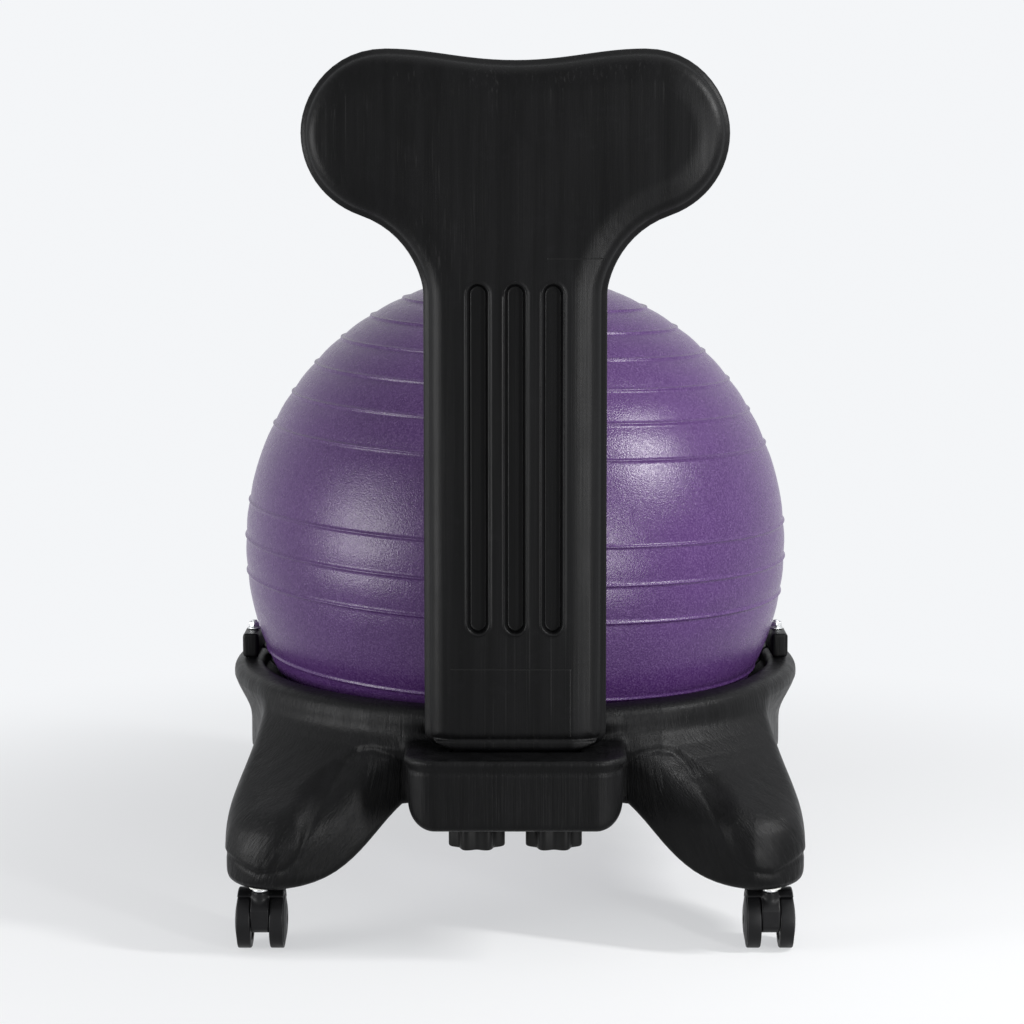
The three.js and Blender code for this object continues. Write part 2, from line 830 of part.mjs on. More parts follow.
function makeLapBolt(sideName, x) {
  const group = new THREE.Group();
  group.position.x = x;
  const lowerSeat = rimTop - lapClampThickness - fitGap;
  const upperSeat = rimTop + tabThickness + 2 * fitGap;
  const headTop = lowerSeat - lapWasherThickness - fitGap;
  const nutBottom = upperSeat + lapWasherThickness + fitGap;
  const nutTop = nutBottom + lapNutHeight;
  const bolt = prismZ(hexagon(lapNutAcross), headTop - lapHeadHeight, headTop)
    .add(cylinder(boltRadius, headTop - lapHeadHeight / 2, nutTop + lapBoltTail, boltSides));
  const nut = prismZ(hexagon(lapNutAcross), nutBottom, nutTop)
    .subtract(cylinder(boltRadius + fitGap, nutBottom - overrun, nutTop + overrun, boltSides));
  group.add(
    piece(`lap_bolt_${sideName}`, bolt, materials.zincSteel),
    piece(`lap_nut_${sideName}`, nut, materials.zincSteel),
    piece(`lap_washer_top_${sideName}`, washer(upperSeat), materials.zincSteel),
    piece(
      `lap_washer_bottom_${sideName}`,
      washer(lowerSeat - lapWasherThickness),
      materials.zincSteel,
    ),
  );
  return group;
}

// Casters: each is drawn with its stem axis at x = y = 0 and its wheels trailing towards +Y

function makeSocket() {
  return turned([
    vector(stemRadius + fitGap, footBottom - socketFlangeHeight - fitGap),
    vector(socketFlangeRadius, footBottom - socketFlangeHeight - fitGap),
    vector(socketFlangeRadius, footBottom - fitGap),
    vector(socketRadius, footBottom - fitGap),
    vector(socketRadius, socketTop - fitGap),
    vector(stemRadius + fitGap, socketTop - fitGap),
  ], boltSides);
}

const collarTop = footBottom - socketFlangeHeight - 2 * fitGap;
const collarBottom = collarTop - stemCollarHeight;
const hoodRadius = wheelRadius + hoodClearance + hoodThickness;
const barrelTop = Math.min(wheelRadius + hoodRadius, collarBottom - fitGap);

function makeStem() {
  return turned([
    vector(0, collarBottom - stemSeatDepth),
    vector(stemRadius, collarBottom - stemSeatDepth),
    vector(stemRadius, collarBottom),
    vector(stemCollarRadius, collarBottom),
    vector(stemCollarRadius, collarTop),
    vector(stemRadius, collarTop),
    vector(stemRadius, socketTop - socketFlangeHeight),
    vector(0, socketTop - socketFlangeHeight),
  ], boltSides);
}

// Drum on the wheels' axle, turned about X
function axleDrum(radius, x0, x1, sides) {
  return cylinder(radius, x0, x1, sides)
    .rotate([0, 90, 0])
    .translate([0, casterTrail, wheelRadius]);
}

// The frame: a hood over both wheels, a web between them, and the barrel that holds the stem
function makeCasterFrame() {
  const halfGap = wheelGap / 2 - fitGap;
  const hoodHalf = wheelGap / 2 + wheelWidth;
  const point = (radius, angle) => vector(
    casterTrail + radius * Math.cos(angle * DEGREE),
    wheelRadius + radius * Math.sin(angle * DEGREE),
  );
  const arcAngles = Array.from({ length: hoodSteps + 1 }, (_, i) => (
    hoodStartAngle + (hoodEndAngle - hoodStartAngle) * i / hoodSteps
  ));
  const hood = [
    ...arcAngles.map((angle) => point(hoodRadius, angle)),
    ...arcAngles.map((angle) => point(hoodRadius - hoodThickness, angle)).reverse(),
  ];
  const web = [
    ...arcAngles.map((angle) => point(hoodRadius - hoodThickness / 2, angle)),
    ...Array.from({ length: 7 }, (_, i) => vector(
      casterTrail + webReach * Math.cos((-180 + 30 * i) * DEGREE),
      wheelRadius + webDrop * Math.sin((-180 + 30 * i) * DEGREE),
    )),
  ];
  return prismX(hood, -hoodHalf, hoodHalf)
    .add(prismX(web, -halfGap, halfGap))
    .add(cylinder(barrelRadius, barrelBottom, barrelTop, boltSides))
    .subtract(cylinder(
      stemRadius + fitGap,
      collarBottom - stemSeatDepth - fitGap,
      totalHeight,
      boltSides,
    ))
    .subtract(cylinder(stemCollarRadius + fitGap, barrelTop, totalHeight, boltSides))
    .subtract(axleDrum(axleRadius + fitGap, -hoodHalf, hoodHalf, boltSides));
}

function makeWheel(side) {
  const inner = wheelGap / 2;
  const outer = inner + wheelWidth;
  const flat = wheelRadius / Math.cos(Math.PI / wheelSides);
  const profile = [
    vector(axleRadius + fitGap, inner),
    vector(flat - wheelRound, inner),
    vector(flat, inner + wheelRound / 2),
    vector(flat, outer - wheelRound),
    vector(flat - wheelRound, outer),
    vector(wheelCapRadius, outer + wheelCapProud),
    vector(axleRadius + fitGap, outer + wheelCapProud),
  ];
  return turned(profile, wheelSides)
    .rotate([0, 0, 180 / wheelSides])
    .rotate([0, 90 * side, 0])
    .translate([0, casterTrail, wheelRadius]);
}

function makeCaster(place, x, y) {
  const group = new THREE.Group();
  group.position.set(x, y, 0);
  const axleHalf = wheelGap / 2 + wheelWidth;
  group.add(
    piece(`caster_socket_${place}`, makeSocket(), materials.whitePlastic),
    piece(`caster_stem_${place}`, makeStem(), materials.zincSteel),
    piece(`caster_frame_${place}`, makeCasterFrame(), materials.wheelPlastic),
    piece(
      `caster_axle_${place}`,
      axleDrum(axleRadius, -axleHalf, axleHalf, boltSides),
      materials.zincSteel,
    ),
    piece(`wheel_left_${place}`, makeWheel(-1), materials.wheelPlastic),
    piece(`wheel_right_${place}`, makeWheel(1), materials.wheelPlastic),
  );
  return group;
}

const chair = new THREE.Group();
chair.position.y = shiftY;
chair.add(
  makeFrontBase(),
  makeRearBase(),
  makeBackrest(),
  makeBall(),
  makeValvePlug(),
  makeKnob('left', -knobSpacing / 2),
  makeKnob('right', knobSpacing / 2),
  makeLapBolt('left', -lapBoltX),
  makeLapBolt('right', lapBoltX),
  makeCaster('rear_left', -footX, -footY),
  makeCaster('rear_right', footX, -footY),
  makeCaster('front_left', -footX, footY),
  makeCaster('front_right', footX, footY),
);

export default chair;
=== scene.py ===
import functools
import itertools
import math

import bpy
import numpy as np
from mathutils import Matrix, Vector


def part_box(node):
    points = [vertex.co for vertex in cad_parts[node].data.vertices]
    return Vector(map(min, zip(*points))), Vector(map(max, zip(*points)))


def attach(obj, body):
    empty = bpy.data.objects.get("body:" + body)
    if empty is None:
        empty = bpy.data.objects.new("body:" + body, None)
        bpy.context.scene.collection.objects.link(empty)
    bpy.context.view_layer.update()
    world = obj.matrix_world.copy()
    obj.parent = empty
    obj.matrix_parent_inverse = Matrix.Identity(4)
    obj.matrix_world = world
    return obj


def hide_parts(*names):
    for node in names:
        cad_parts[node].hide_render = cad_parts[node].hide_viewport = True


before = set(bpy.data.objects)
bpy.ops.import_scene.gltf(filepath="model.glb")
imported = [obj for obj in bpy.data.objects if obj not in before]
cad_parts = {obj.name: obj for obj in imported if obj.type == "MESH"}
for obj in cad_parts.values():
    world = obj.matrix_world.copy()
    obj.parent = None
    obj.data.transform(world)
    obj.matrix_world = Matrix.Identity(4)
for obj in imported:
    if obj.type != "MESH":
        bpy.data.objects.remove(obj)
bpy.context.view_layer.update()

# Forms are worked out in millimetres in the drawn frame, where the ball's axis is x = y = 0 and
# the floor is z = 0. The frame's own pieces give the places.
MM = 0.001
ball_low, ball_high = (np.array(corner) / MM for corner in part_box("ball"))
SHIFT = np.array([0, (ball_low[1] + ball_high[1]) / 2, 0])

SIDES = {"left": -1, "right": 1}
PLACES = {"rear_left": (-1, -1), "rear_right": (1, -1), "front_left": (-1, 1), "front_right": (1, 1)}
FIT_GAP = 0.3


def node_box(name):
    """Lowest and highest corner of a CAD node in the drawn frame."""
    return [np.array(corner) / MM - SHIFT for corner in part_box(name)]


def node_middle(name):
    low, high = node_box(name)
    return (low + high) / 2


# Meshes

def new_object(name, vertices, faces):
    mesh = bpy.data.meshes.new(name)
    placed = (np.asarray(vertices, float) + SHIFT) * MM
    mesh.from_pydata(placed.tolist(), [], [list(map(int, face)) for face in faces])
    mesh.validate()
    mesh.shade_smooth()
    result = bpy.data.objects.new(name, mesh)
    bpy.context.scene.collection.objects.link(result)
    return result


def dress(piece, body, slot, material, *nodes):
    """Gives a piece its material and its body, and hides the CAD nodes that it stands for. The slot is not
    used.
    """
    piece.data.materials.append(material)
    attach(piece, body)
    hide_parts(*nodes)
    return piece


def rows_to_faces(rows, closed):
    """Quads between rows of vertex numbers; a row of one number is a pole."""
    faces = []
    pairs = list(zip(rows, rows[1:]))
    if closed:
        pairs.append((rows[-1], rows[0]))
    for one, two in pairs:
        count = max(len(one), len(two))
        for i in range(count):
            j = (i + 1) % count
            corners = [one[i % len(one)], one[j % len(one)], two[j % len(two)], two[i % len(two)]]
            faces.append(list(dict.fromkeys(corners)))
    return faces


def around(profile, sides, reach=None):
    """A profile of radius and height turned about Z. reach(angle, radius) may reshape each row."""
    vertices, rows = [], []
    angles = np.arange(sides) * 2 * math.pi / sides
    for radius, height in profile:
        start = len(vertices)
        if radius < 1e-6:
            vertices.append((0, 0, height))
            rows.append([start])
        else:
            row = np.full(sides, radius) if reach is None else reach(angles, radius)
            vertices += list(zip(row * np.cos(angles), row * np.sin(angles), np.full(sides, height)))
            rows.append(list(range(start, start + sides)))
    on_axis = profile[0][0] < 1e-6 and profile[-1][0] < 1e-6
    return np.array(vertices), rows_to_faces(rows, closed=not on_axis)


def rounded(points, radius, steps=4):
    """A profile with each corner that is off the axis turned into a small curve."""
    result = []
    count = len(points)
    for i in range(count):
        here = np.array(points[i], float)
        if here[0] < 1e-6:
            result.append(tuple(here))
            continue
        before = np.array(points[i - 1], float) - here
        after = np.array(points[(i + 1) % count], float) - here
        reach = min(radius, np.linalg.norm(before) / 2.2, np.linalg.norm(after) / 2.2)
        start = here + before / np.linalg.norm(before) * reach
        end = here + after / np.linalg.norm(after) * reach
        for t in np.linspace(0, 1, steps):
            result.append(tuple((1 - t) ** 2 * start + 2 * t * (1 - t) * here + t ** 2 * end))
    return result


SETTLING_ROUNDS = 3
LEAST_SLOPE = 0.2


def surface(field, low, high, step):
    """Vertices and quads where a signed distance field is zero, as a net of surface cells."""
    axes = [np.arange(a, b + step, step, dtype=np.float32) for a, b in zip(low, high)]
    values = field(*np.meshgrid(*axes, indexing="ij", sparse=True))
    inside = values < 0
    cells = np.array(values.shape) - 1
    filled = np.zeros(cells, np.int8)
    for i, j, k in itertools.product((0, 1), repeat=3):
        filled += inside[i:cells[0] + i, j:cells[1] + j, k:cells[2] + k]
    used = (filled > 0) & (filled < 8)
    index = np.full(used.shape, -1, np.int64)
    index[used] = np.arange(used.sum())
    total = np.zeros((used.sum(), 3))
    hits = np.zeros(used.sum())
    quads = []
    for axis in range(3):
        behind = [slice(None)] * 3
        ahead = [slice(None)] * 3
        behind[axis], ahead[axis] = slice(None, -1), slice(1, None)
        crossing = inside[tuple(behind)] != inside[tuple(ahead)]
        others = [(axis + 1) % 3, (axis + 2) % 3]
        nodes = np.argwhere(crossing)
        first = values[tuple(nodes.T)].astype(float)
        beyond = nodes.copy()
        beyond[:, axis] += 1
        last = values[tuple(beyond.T)].astype(float)
        point = nodes.astype(float)
        point[:, axis] += first / (first - last)
        ring = []
        for a, b in ((1, 1), (0, 1), (0, 0), (1, 0)):
            cell = nodes.copy()
            cell[:, others[0]] -= a
            cell[:, others[1]] -= b
            here = index[tuple(cell.T)]
            ring.append(here)
            for i in range(3):
                total[:, i] += np.bincount(here, point[:, i], len(hits))
            hits += np.bincount(here, minlength=len(hits))
        quad = np.stack(ring, 1)
        inward = first > 0
        quad[inward] = quad[inward, ::-1]
        quads.append(quad)
    vertices = total / hits[:, None] * step + np.array([a[0] for a in axes])
    return settled(field, vertices, step), np.concatenate(quads)


def settled(field, vertices, step):
    """Moves vertices onto the field's zero, by at most half a cell each way."""
    small = step / 8
    start = vertices
    slope = np.stack([
        (field(*(vertices + shift).T) - field(*(vertices - shift).T)) / (2 * small)
        for shift in np.eye(3) * small
    ], 1)
    slope /= np.maximum((slope ** 2).sum(1), LEAST_SLOPE)[:, None]
    for _ in range(SETTLING_ROUNDS):
        vertices = vertices - field(*vertices.T)[:, None] * slope
        vertices = start + np.clip(vertices - start, -step / 2, step / 2)
    return vertices


# Distance fields, negative inside

def smooth_min(a, b, width):
    mix = np.clip(0.5 + 0.5 * (b - a) / width, 0, 1)
    return b + (a - b) * mix - width * mix * (1 - mix)


def smooth_max(a, b, width):
    return -smooth_min(-a, -b, width)


def ease(value):
    t = np.clip(value, 0, 1)
    return t * t * (3 - 2 * t)


def bump(value):
    return np.exp(-value * value)


def outline_distance(x, y, points):
    """Signed distance to a closed outline."""
    shape = np.broadcast_shapes(np.shape(x), np.shape(y))
    nearest = np.full(shape, np.inf, np.result_type(x, y))
    inside = np.zeros(shape, bool)
    for (ax, ay), (bx, by) in zip(points, points[1:] + points[:1]):
        ex, ey = bx - ax, by - ay
        wx, wy = x - ax, y - ay
        along = np.clip((wx * ex + wy * ey) / (ex * ex + ey * ey), 0, 1)
        nearest = np.minimum(nearest, (wx - ex * along) ** 2 + (wy - ey * along) ** 2)
        if ey != 0:
            inside ^= ((ay > y) != (by > y)) & (wx < ex * wy / ey)
    return np.where(inside, -1, 1) * np.sqrt(nearest)


def tabled(points, low, high, step=0.5):
    """The distance to a closed outline as a function that reads it from a table."""
    axes = [np.arange(a, b, step) for a, b in zip(low, high)]
    table = outline_distance(*np.meshgrid(*axes, indexing="ij", sparse=True), points)
    table = table.astype(np.float32)

    def distance(x, y):
        u = np.clip((x - low[0]) / step, 0, len(axes[0]) - 1.01)
        v = np.clip((y - low[1]) / step, 0, len(axes[1]) - 1.01)
        i, j = u.astype(np.int32), v.astype(np.int32)
        f, g = u - i, v - j
        near = table[i, j] * (1 - g) + table[i, j + 1] * g
        far = table[i + 1, j] * (1 - g) + table[i + 1, j + 1] * g
        return near * (1 - f) + far * f

    return distance


def block(point, low, high, radius):
    """A box with rounded edges, in as many dimensions as the point has."""
    reach = [np.abs(p - (a + b) / 2) - (b - a) / 2 + radius for p, a, b in zip(point, low, high)]
    outside = np.sqrt(sum(np.maximum(r, 0) ** 2 for r in reach))
    return outside + np.minimum(functools.reduce(np.maximum, reach), 0) - radius


def slab(distance, offset, half, radius):
    """An outline's distance made a solid of half its thickness each way, with round edges."""
    across = distance + radius
    through = np.abs(offset) - half + radius
    outside = np.hypot(np.maximum(across, 0), np.maximum(through, 0))
    return outside + np.minimum(np.maximum(across, through), 0) - radius


def curve(start, end, shares, steps=14):
    """Points of a cubic curve whose handles are shares of the box between its two ends."""
    handles = [[a + (b - a) * share for a, b, share in zip(start, end, pair)] for pair in shares]
    points = np.array([start, *handles, end], float)
    t = np.linspace(0, 1, steps)[:, None]
    weights = np.hstack([(1 - t) ** 3, 3 * t * (1 - t) ** 2, 3 * t * t * (1 - t), t ** 3])
    return [tuple(point) for point in weights @ points]


# Ball

BALL_HEIGHT = (ball_low[2] + ball_high[2]) / 2
RIB_HEIGHT = 1
BALL_RADIUS = (ball_high[2] - ball_low[2]) / 2
BALL_REACH = BALL_RADIUS + RIB_HEIGHT
BALL_LINING = BALL_RADIUS - 1.8
BALL_HOLE = 5.3
BALL_SIDES = 200
POLE = 90
RIB_WIDTH = 0.28
RIB_TILT = math.radians(2.25)
RIBS = [0, 7.5] + [24.5 + 7.75 * i for i in range(6)]
RIBS = sorted({sign * latitude for latitude in RIBS for sign in (-1, 1)})
# Rows of vertices over a rib, in widths of the rib
RIB_ROWS = np.array([-5.2, -3.2, -2, -1.2, -0.6, 0, 0.6, 1.2, 2, 3.2, 5.2])
ROW_GAP = 2
LINING_ROWS = range(80, -90, -10)
BAND_SAG = 0.8
SAG_WIDTH = 1.6
TILT_FADE_START = 64
TILT_FADE = 18


def ball_radius(latitude):
    rise = sum(bump((latitude - rib) / RIB_WIDTH) for rib in RIBS)
    sag = sum(bump((latitude - rib) / SAG_WIDTH) for rib in RIBS)
    return BALL_RADIUS + RIB_HEIGHT * rise - BAND_SAG * sag * (1 - rise)


def ball_rows():
    """Radius and latitude of each row: down the lining to the valve's hole, and up the skin."""
    hole = -math.degrees(math.acos(BALL_HOLE / BALL_RADIUS))
    latitudes = {hole, POLE}
    for rib in RIBS:
        latitudes.update(rib + RIB_ROWS * RIB_WIDTH)
    wide = sorted(latitudes)
    for low, high in zip(wide, wide[1:]):
        count = int((high - low) / ROW_GAP)
        latitudes.update(low + (high - low) * (i + 1) / (count + 1) for i in range(count))
    lining = [(BALL_LINING, angle) for angle in (POLE, *LINING_ROWS, hole)]
    return lining + [(ball_radius(angle), angle) for angle in sorted(latitudes)]


def make_ball():
    profile = []
    for radius, angle in ball_rows():
        across = 0 if angle == POLE else radius * math.cos(math.radians(angle))
        profile.append((across, radius * math.sin(math.radians(angle))))
    vertices, faces = around(profile, BALL_SIDES)
    rise = vertices[:, 2] / np.linalg.norm(vertices, axis=1)
    latitude = np.degrees(np.arcsin(np.clip(rise, -1, 1)))
    turn = RIB_TILT * (1 - ease((np.abs(latitude) - TILT_FADE_START) / TILT_FADE))
    x, z = vertices[:, 0].copy(), vertices[:, 2].copy()
    vertices[:, 0] = x * np.cos(turn) + z * np.sin(turn)
    vertices[:, 2] = z * np.cos(turn) - x * np.sin(turn) + BALL_HEIGHT
    return vertices, [face[::-1] for face in faces]


# Base halves

SEAT_ANGLE = math.radians(43.2)
LIP_INNER = 243
LIP_ROUND = 9
RIM_OUTER = 272
RIM_TOP = 213
RIM_UNDER = 199
RIM_BAND = 3
RIM_ROUND = 13
RING_BODY = 256
RING_WAIST = 156
RING_UNDERSIDE = 126
RING_CHAMFER = (4, 5)
SEAT_INNER = 186
BASE_CLEAR = 260
FAR = 400

FOOT_X, FOOT_Y = np.abs(node_middle("caster_socket_rear_right")[:2])
FOOT_BOTTOM = 58.5
FOOT_HALF = 30
FOOT_SHOULDER = 94
BORE_RADIUS = 7.8
BORE_TOP = 92.5
ARCH_FOOT_GAP = 24
ARCH_SPAN = 124
LEG_INNER = SEAT_INNER + 20
CROWN_TOP = 204
CROWN_REACH = RIM_OUTER - 5
CROWN_INNER = RING_BODY - 24
FLANK_LOW = FOOT_X + FOOT_HALF + 4.5
FLANK_HIGH = FOOT_X + 6.5
FLANK_HEIGHTS = (84, 196)
HEEL = (FOOT_X - 17, FOOT_Y - 19)
HEEL_RADIUS = FOOT_HALF + 20

RIM_SHARES = ((0, 0.4), (0.7, 0.65))
RIM_TOP_SHARES = ((0, 0.6), (0.4, 1))
LIP_SHARES = ((0.6, 0), (1, 0.4))
ARCH_SHARES = ((0.6, 0.13), (0.7, 0.64))
CROWN_SHARES = ((0, 0.3), (0.74, 0.38))
FLANK_SHARES = ((0, 0.45), (0.66, 0.48))


def seat_height(radius):
    """The conical seat lies a small gap off the ball's ribs."""
    reach = BALL_REACH + FIT_GAP
    along = (radius - reach * math.cos(SEAT_ANGLE)) / math.sin(SEAT_ANGLE)
    return BALL_HEIGHT - reach * math.sin(SEAT_ANGLE) + along * math.cos(SEAT_ANGLE)


ring_profile = [
    (SEAT_INNER, RING_UNDERSIDE),
    (RING_BODY - RING_CHAMFER[0], RING_UNDERSIDE),
    (RING_BODY, RING_UNDERSIDE + RING_CHAMFER[1]),
    *curve((RING_BODY, RING_WAIST), (RIM_OUTER, RIM_UNDER), RIM_SHARES, 7),
    *curve((RIM_OUTER, RIM_UNDER + RIM_BAND), (RIM_OUTER - RIM_ROUND, RIM_TOP), RIM_TOP_SHARES, 7),
    *curve((LIP_INNER + LIP_ROUND, RIM_TOP), (LIP_INNER, RIM_TOP - LIP_ROUND), LIP_SHARES, 5),
    (LIP_INNER, seat_height(LIP_INNER)),
    (SEAT_INNER, seat_height(SEAT_INNER)),
]


def arch_outline(foot):
    """The opening between two legs, seen along it, from a foot to beyond the middle."""
    start = foot - ARCH_FOOT_GAP
    bend = curve((start, FOOT_BOTTOM), (foot - ARCH_SPAN, RING_UNDERSIDE), ARCH_SHARES)
    return [(start, 0), *bend, (-FAR, RING_UNDERSIDE), (-FAR, 0)]


leg_reach = math.hypot(FOOT_X, FOOT_Y) + FOOT_HALF
crown_outline = [
    (LEG_INNER, FOOT_BOTTOM),
    (leg_reach, FOOT_BOTTOM),
    *curve((leg_reach, FOOT_SHOULDER), (CROWN_REACH, CROWN_TOP), CROWN_SHARES),
    (CROWN_INNER, CROWN_TOP),
    (LEG_INNER, RING_WAIST),
]
# The legs' outer sides draw in as they rise to the ring
flank_outline = [
    (FLANK_LOW, 0),
    *curve((FLANK_LOW, FLANK_HEIGHTS[0]), (FLANK_HIGH, FLANK_HEIGHTS[1]), FLANK_SHARES),
    (FLANK_HIGH, BASE_CLEAR),
    (-FAR, BASE_CLEAR),
    (-FAR, 0),
]
# A leg from above: its outer side, its round heel and its inner side
leg_plan = [
    (200, -20),
    (238, -20),
    (240, 80),
    (251, 130),
    (261, 180),
    (264, 225),
    *[
        (HEEL[0] + HEEL_RADIUS * math.cos(a), HEEL[1] + HEEL_RADIUS * math.sin(a))
        for a in np.linspace(0, math.pi / 2, 10)
    ],
    (FOOT_X - FOOT_HALF - 6, FOOT_Y + FOOT_HALF - 5),
    (80, 254),
    (80, 150),
]
# The parting line runs from the middle of each half over the panel to the leg, and round the
# foot; below it the wall stands back
panel_outline = [
    (-20, 160), (80, 163), (98, 167), (110, 173), (125, 175.5), (140, 172), (151, 162), (160, 149),
    (173, 126), (184, 103), (190, 89), (200, 81), (224, 77), (250, 86), (290, 92),
    (320, 30), (-20, 30),
]

ring_distance = tabled(ring_profile, (0, 40), (460, BASE_CLEAR))
crown_distance = tabled(crown_outline, (0, 40), (460, BASE_CLEAR))

# A leg's edges are rounder towards its heel, and sharper down at its sole
LEG_ROUNDING = 14
HEEL_ROUNDING = 12
HEEL_START, HEEL_SPAN = 290, 60
SOLE_TOP, SOLE_SPAN = 80, 24

# How wide the other roundings and blends between two surfaces are
FLANK_ROUNDING = 6
ARCH_CORNER = 4
ARCH_ROUNDING = 5
LEG_BLEND = 12
BOX_BLEND = 8
TAB_BLEND = 3
CUT_ROUNDING = 2.5
SOCKET_ROUNDING = 1.5

# How far the wall stands back under the parting line, and how softly, on the panel and in the
# valley on the leg
VALLEY_HEIGHT, VALLEY_REACH = 139, 24
VALLEY_DEPTH, VALLEY_SOFTNESS = 5.4, 23
PANEL_DEPTH, PANEL_SOFTNESS = 1.2, 3
PARTING_DEPTH, PARTING_PLACE, PARTING_WIDTH = 0.8, 1, 2
PANEL_START, PANEL_SPAN = 150, 20


def leg_field(x, y, z, radius):
    """A pair of legs: sharp round the sole of each foot and softly rounded above it."""
    on_heel = ease((radius - HEEL_START) / HEEL_SPAN)
    rounding = LEG_ROUNDING + HEEL_ROUNDING * on_heel * ease((z - SOLE_TOP) / SOLE_SPAN)
    leg = smooth_max(crown_distance(radius, z), outline_distance(x, y, leg_plan), rounding)
    return smooth_max(leg, outline_distance(x, z, flank_outline), FLANK_ROUNDING)


def arch_field(x, y, z):
    """The openings between the legs, through the base both ways."""
    return smooth_min(
        outline_distance(x, z, arch_outline(FOOT_X)),
        outline_distance(y, z, arch_outline(FOOT_Y)),
        ARCH_CORNER,
    )


def panel_depth(x, y, z):
    """How far the wall stands back: a soft valley along the parting line and a fine line in it."""
    inward = -outline_distance(x, z, panel_outline)
    valley = bump((z - VALLEY_HEIGHT) / VALLEY_REACH)
    softness = PANEL_SOFTNESS + VALLEY_SOFTNESS * valley
    depth = PANEL_DEPTH + VALLEY_DEPTH * valley
    line = PARTING_DEPTH * bump((inward - PARTING_PLACE) / PARTING_WIDTH)
    return (depth * ease(inward / softness + 1) + line) * ease((y - PANEL_START) / PANEL_SPAN)


BOX_HALF = 94.5
BOX_REAR = 335
BOX_FRONT = 120
BOX_TOP = 184
BOX_CLEAR = 300
BOX_BOTTOM = 121
BOX_LOWER_CORNER = 25
BOX_REAR_CORNER = 27
BOX_EDGE = 7
BOX_TOP_EDGE = 5
LIP_PROUD = 1.5
LIP_HEIGHT = 8
LIP_EDGE = 3.6
LIP_FRONT = 230
LIP_BLEND = 2
SEAM_DEPTH, SEAM_DROP, SEAM_WIDTH = 0.7, 3, 1.2
POCKET_HALF = 79
POCKET_FRONT, POCKET_REAR = 268.7, 500
SOCKET_HALF = 56.3
SOCKET_FLOOR = 134
SOCKET_FRONT, SOCKET_REAR = 272, 302
SOCKET_EDGE = 2
KNOB_X, KNOB_Y = np.abs(node_middle("knob_stud_right")[:2])
STUD_RADIUS = 5


def box_field(x, y, z):
    """The socket box: round lower corners, round rear corners and a rolled lip."""
    face = block((x, z), (-BOX_HALF, BOX_BOTTOM), (BOX_HALF, BOX_CLEAR), BOX_LOWER_CORNER)
    plan = block((x, y), (-BOX_HALF, BOX_FRONT), (BOX_HALF, BOX_REAR), BOX_REAR_CORNER)
    body = smooth_max(smooth_max(face, plan, BOX_EDGE), z - BOX_TOP, BOX_TOP_EDGE)
    lip = slab(plan - LIP_PROUD, z - (BOX_TOP - LIP_HEIGHT / 2), LIP_HEIGHT / 2, LIP_EDGE)
    lip = np.maximum(lip, LIP_FRONT - y)
    seam = SEAM_DEPTH * bump((z - (BOX_TOP - LIP_HEIGHT - SEAM_DROP)) / SEAM_WIDTH)
    return smooth_min(body + seam, lip, LIP_BLEND)


def socket_field(x, y, z):
    """The room over the box for the post's end, and the socket in it for the tongue."""
    post = block(
        (x, y, z), (-POCKET_HALF, POCKET_FRONT, BOX_TOP), (POCKET_HALF, POCKET_REAR, FAR), SOCKET_EDGE,
    )
    socket = block(
        (x, y, z), (-SOCKET_HALF, SOCKET_FRONT, SOCKET_FLOOR), (SOCKET_HALF, SOCKET_REAR, FAR), SOCKET_EDGE,
    )
    return np.minimum(post, socket)


LAP_HALF = 28
LAP_BOLT_X = node_middle("lap_bolt_right")[0]
LAP_BOLT_HOLE = 3.3
LAP_POCKET_RADIUS = 10
LAP_POCKET_TOP = RIM_TOP - 26
TAB_LOW, TAB_HIGH = 247.5, 263
TAB_TOP = 236.3
TAB_FLAT = 12
TAB_RAMP = 34
TAB_SINK, TAB_NOSE = 9, 4
TAB_EDGE = 3.5


def tab_field(x, y, z):
    """The front half's tab: it lies on the rear half's end and ramps down to the rim."""
    seat = RIM_TOP + FIT_GAP
    ramp = LAP_HALF + FIT_GAP
    outline = [
        (-LAP_HALF, seat), (ramp, seat), (ramp, RIM_TOP - TAB_SINK), (ramp + TAB_RAMP, RIM_TOP - TAB_SINK),
        (ramp + TAB_RAMP, RIM_TOP - TAB_NOSE), (TAB_FLAT, TAB_TOP), (-LAP_HALF, TAB_TOP),
    ]
    side = outline_distance(y, z, outline)
    return slab(side, x - (TAB_LOW + TAB_HIGH) / 2, (TAB_HIGH - TAB_LOW) / 2, TAB_EDGE)


def rear_form(form, x, across, out, z):
    """Adds the socket box to the rear half, and cuts its ends, its socket and the studs' holes."""
    form = smooth_min(form, box_field(x, out, z), BOX_BLEND)
    form = smooth_max(form, -LAP_HALF - out, CUT_ROUNDING)
    form = smooth_max(form, -socket_field(x, out, z), SOCKET_ROUNDING)
    return np.maximum(form, FIT_GAP + STUD_RADIUS - np.hypot(across - KNOB_X, out - KNOB_Y))


def front_form(form, across, out, y, z):
    """Cuts the front half's ends and adds its tabs."""
    form = smooth_max(form, LAP_HALF + FIT_GAP - out, CUT_ROUNDING)
    return smooth_min(form, tab_field(across, y, z), TAB_BLEND)


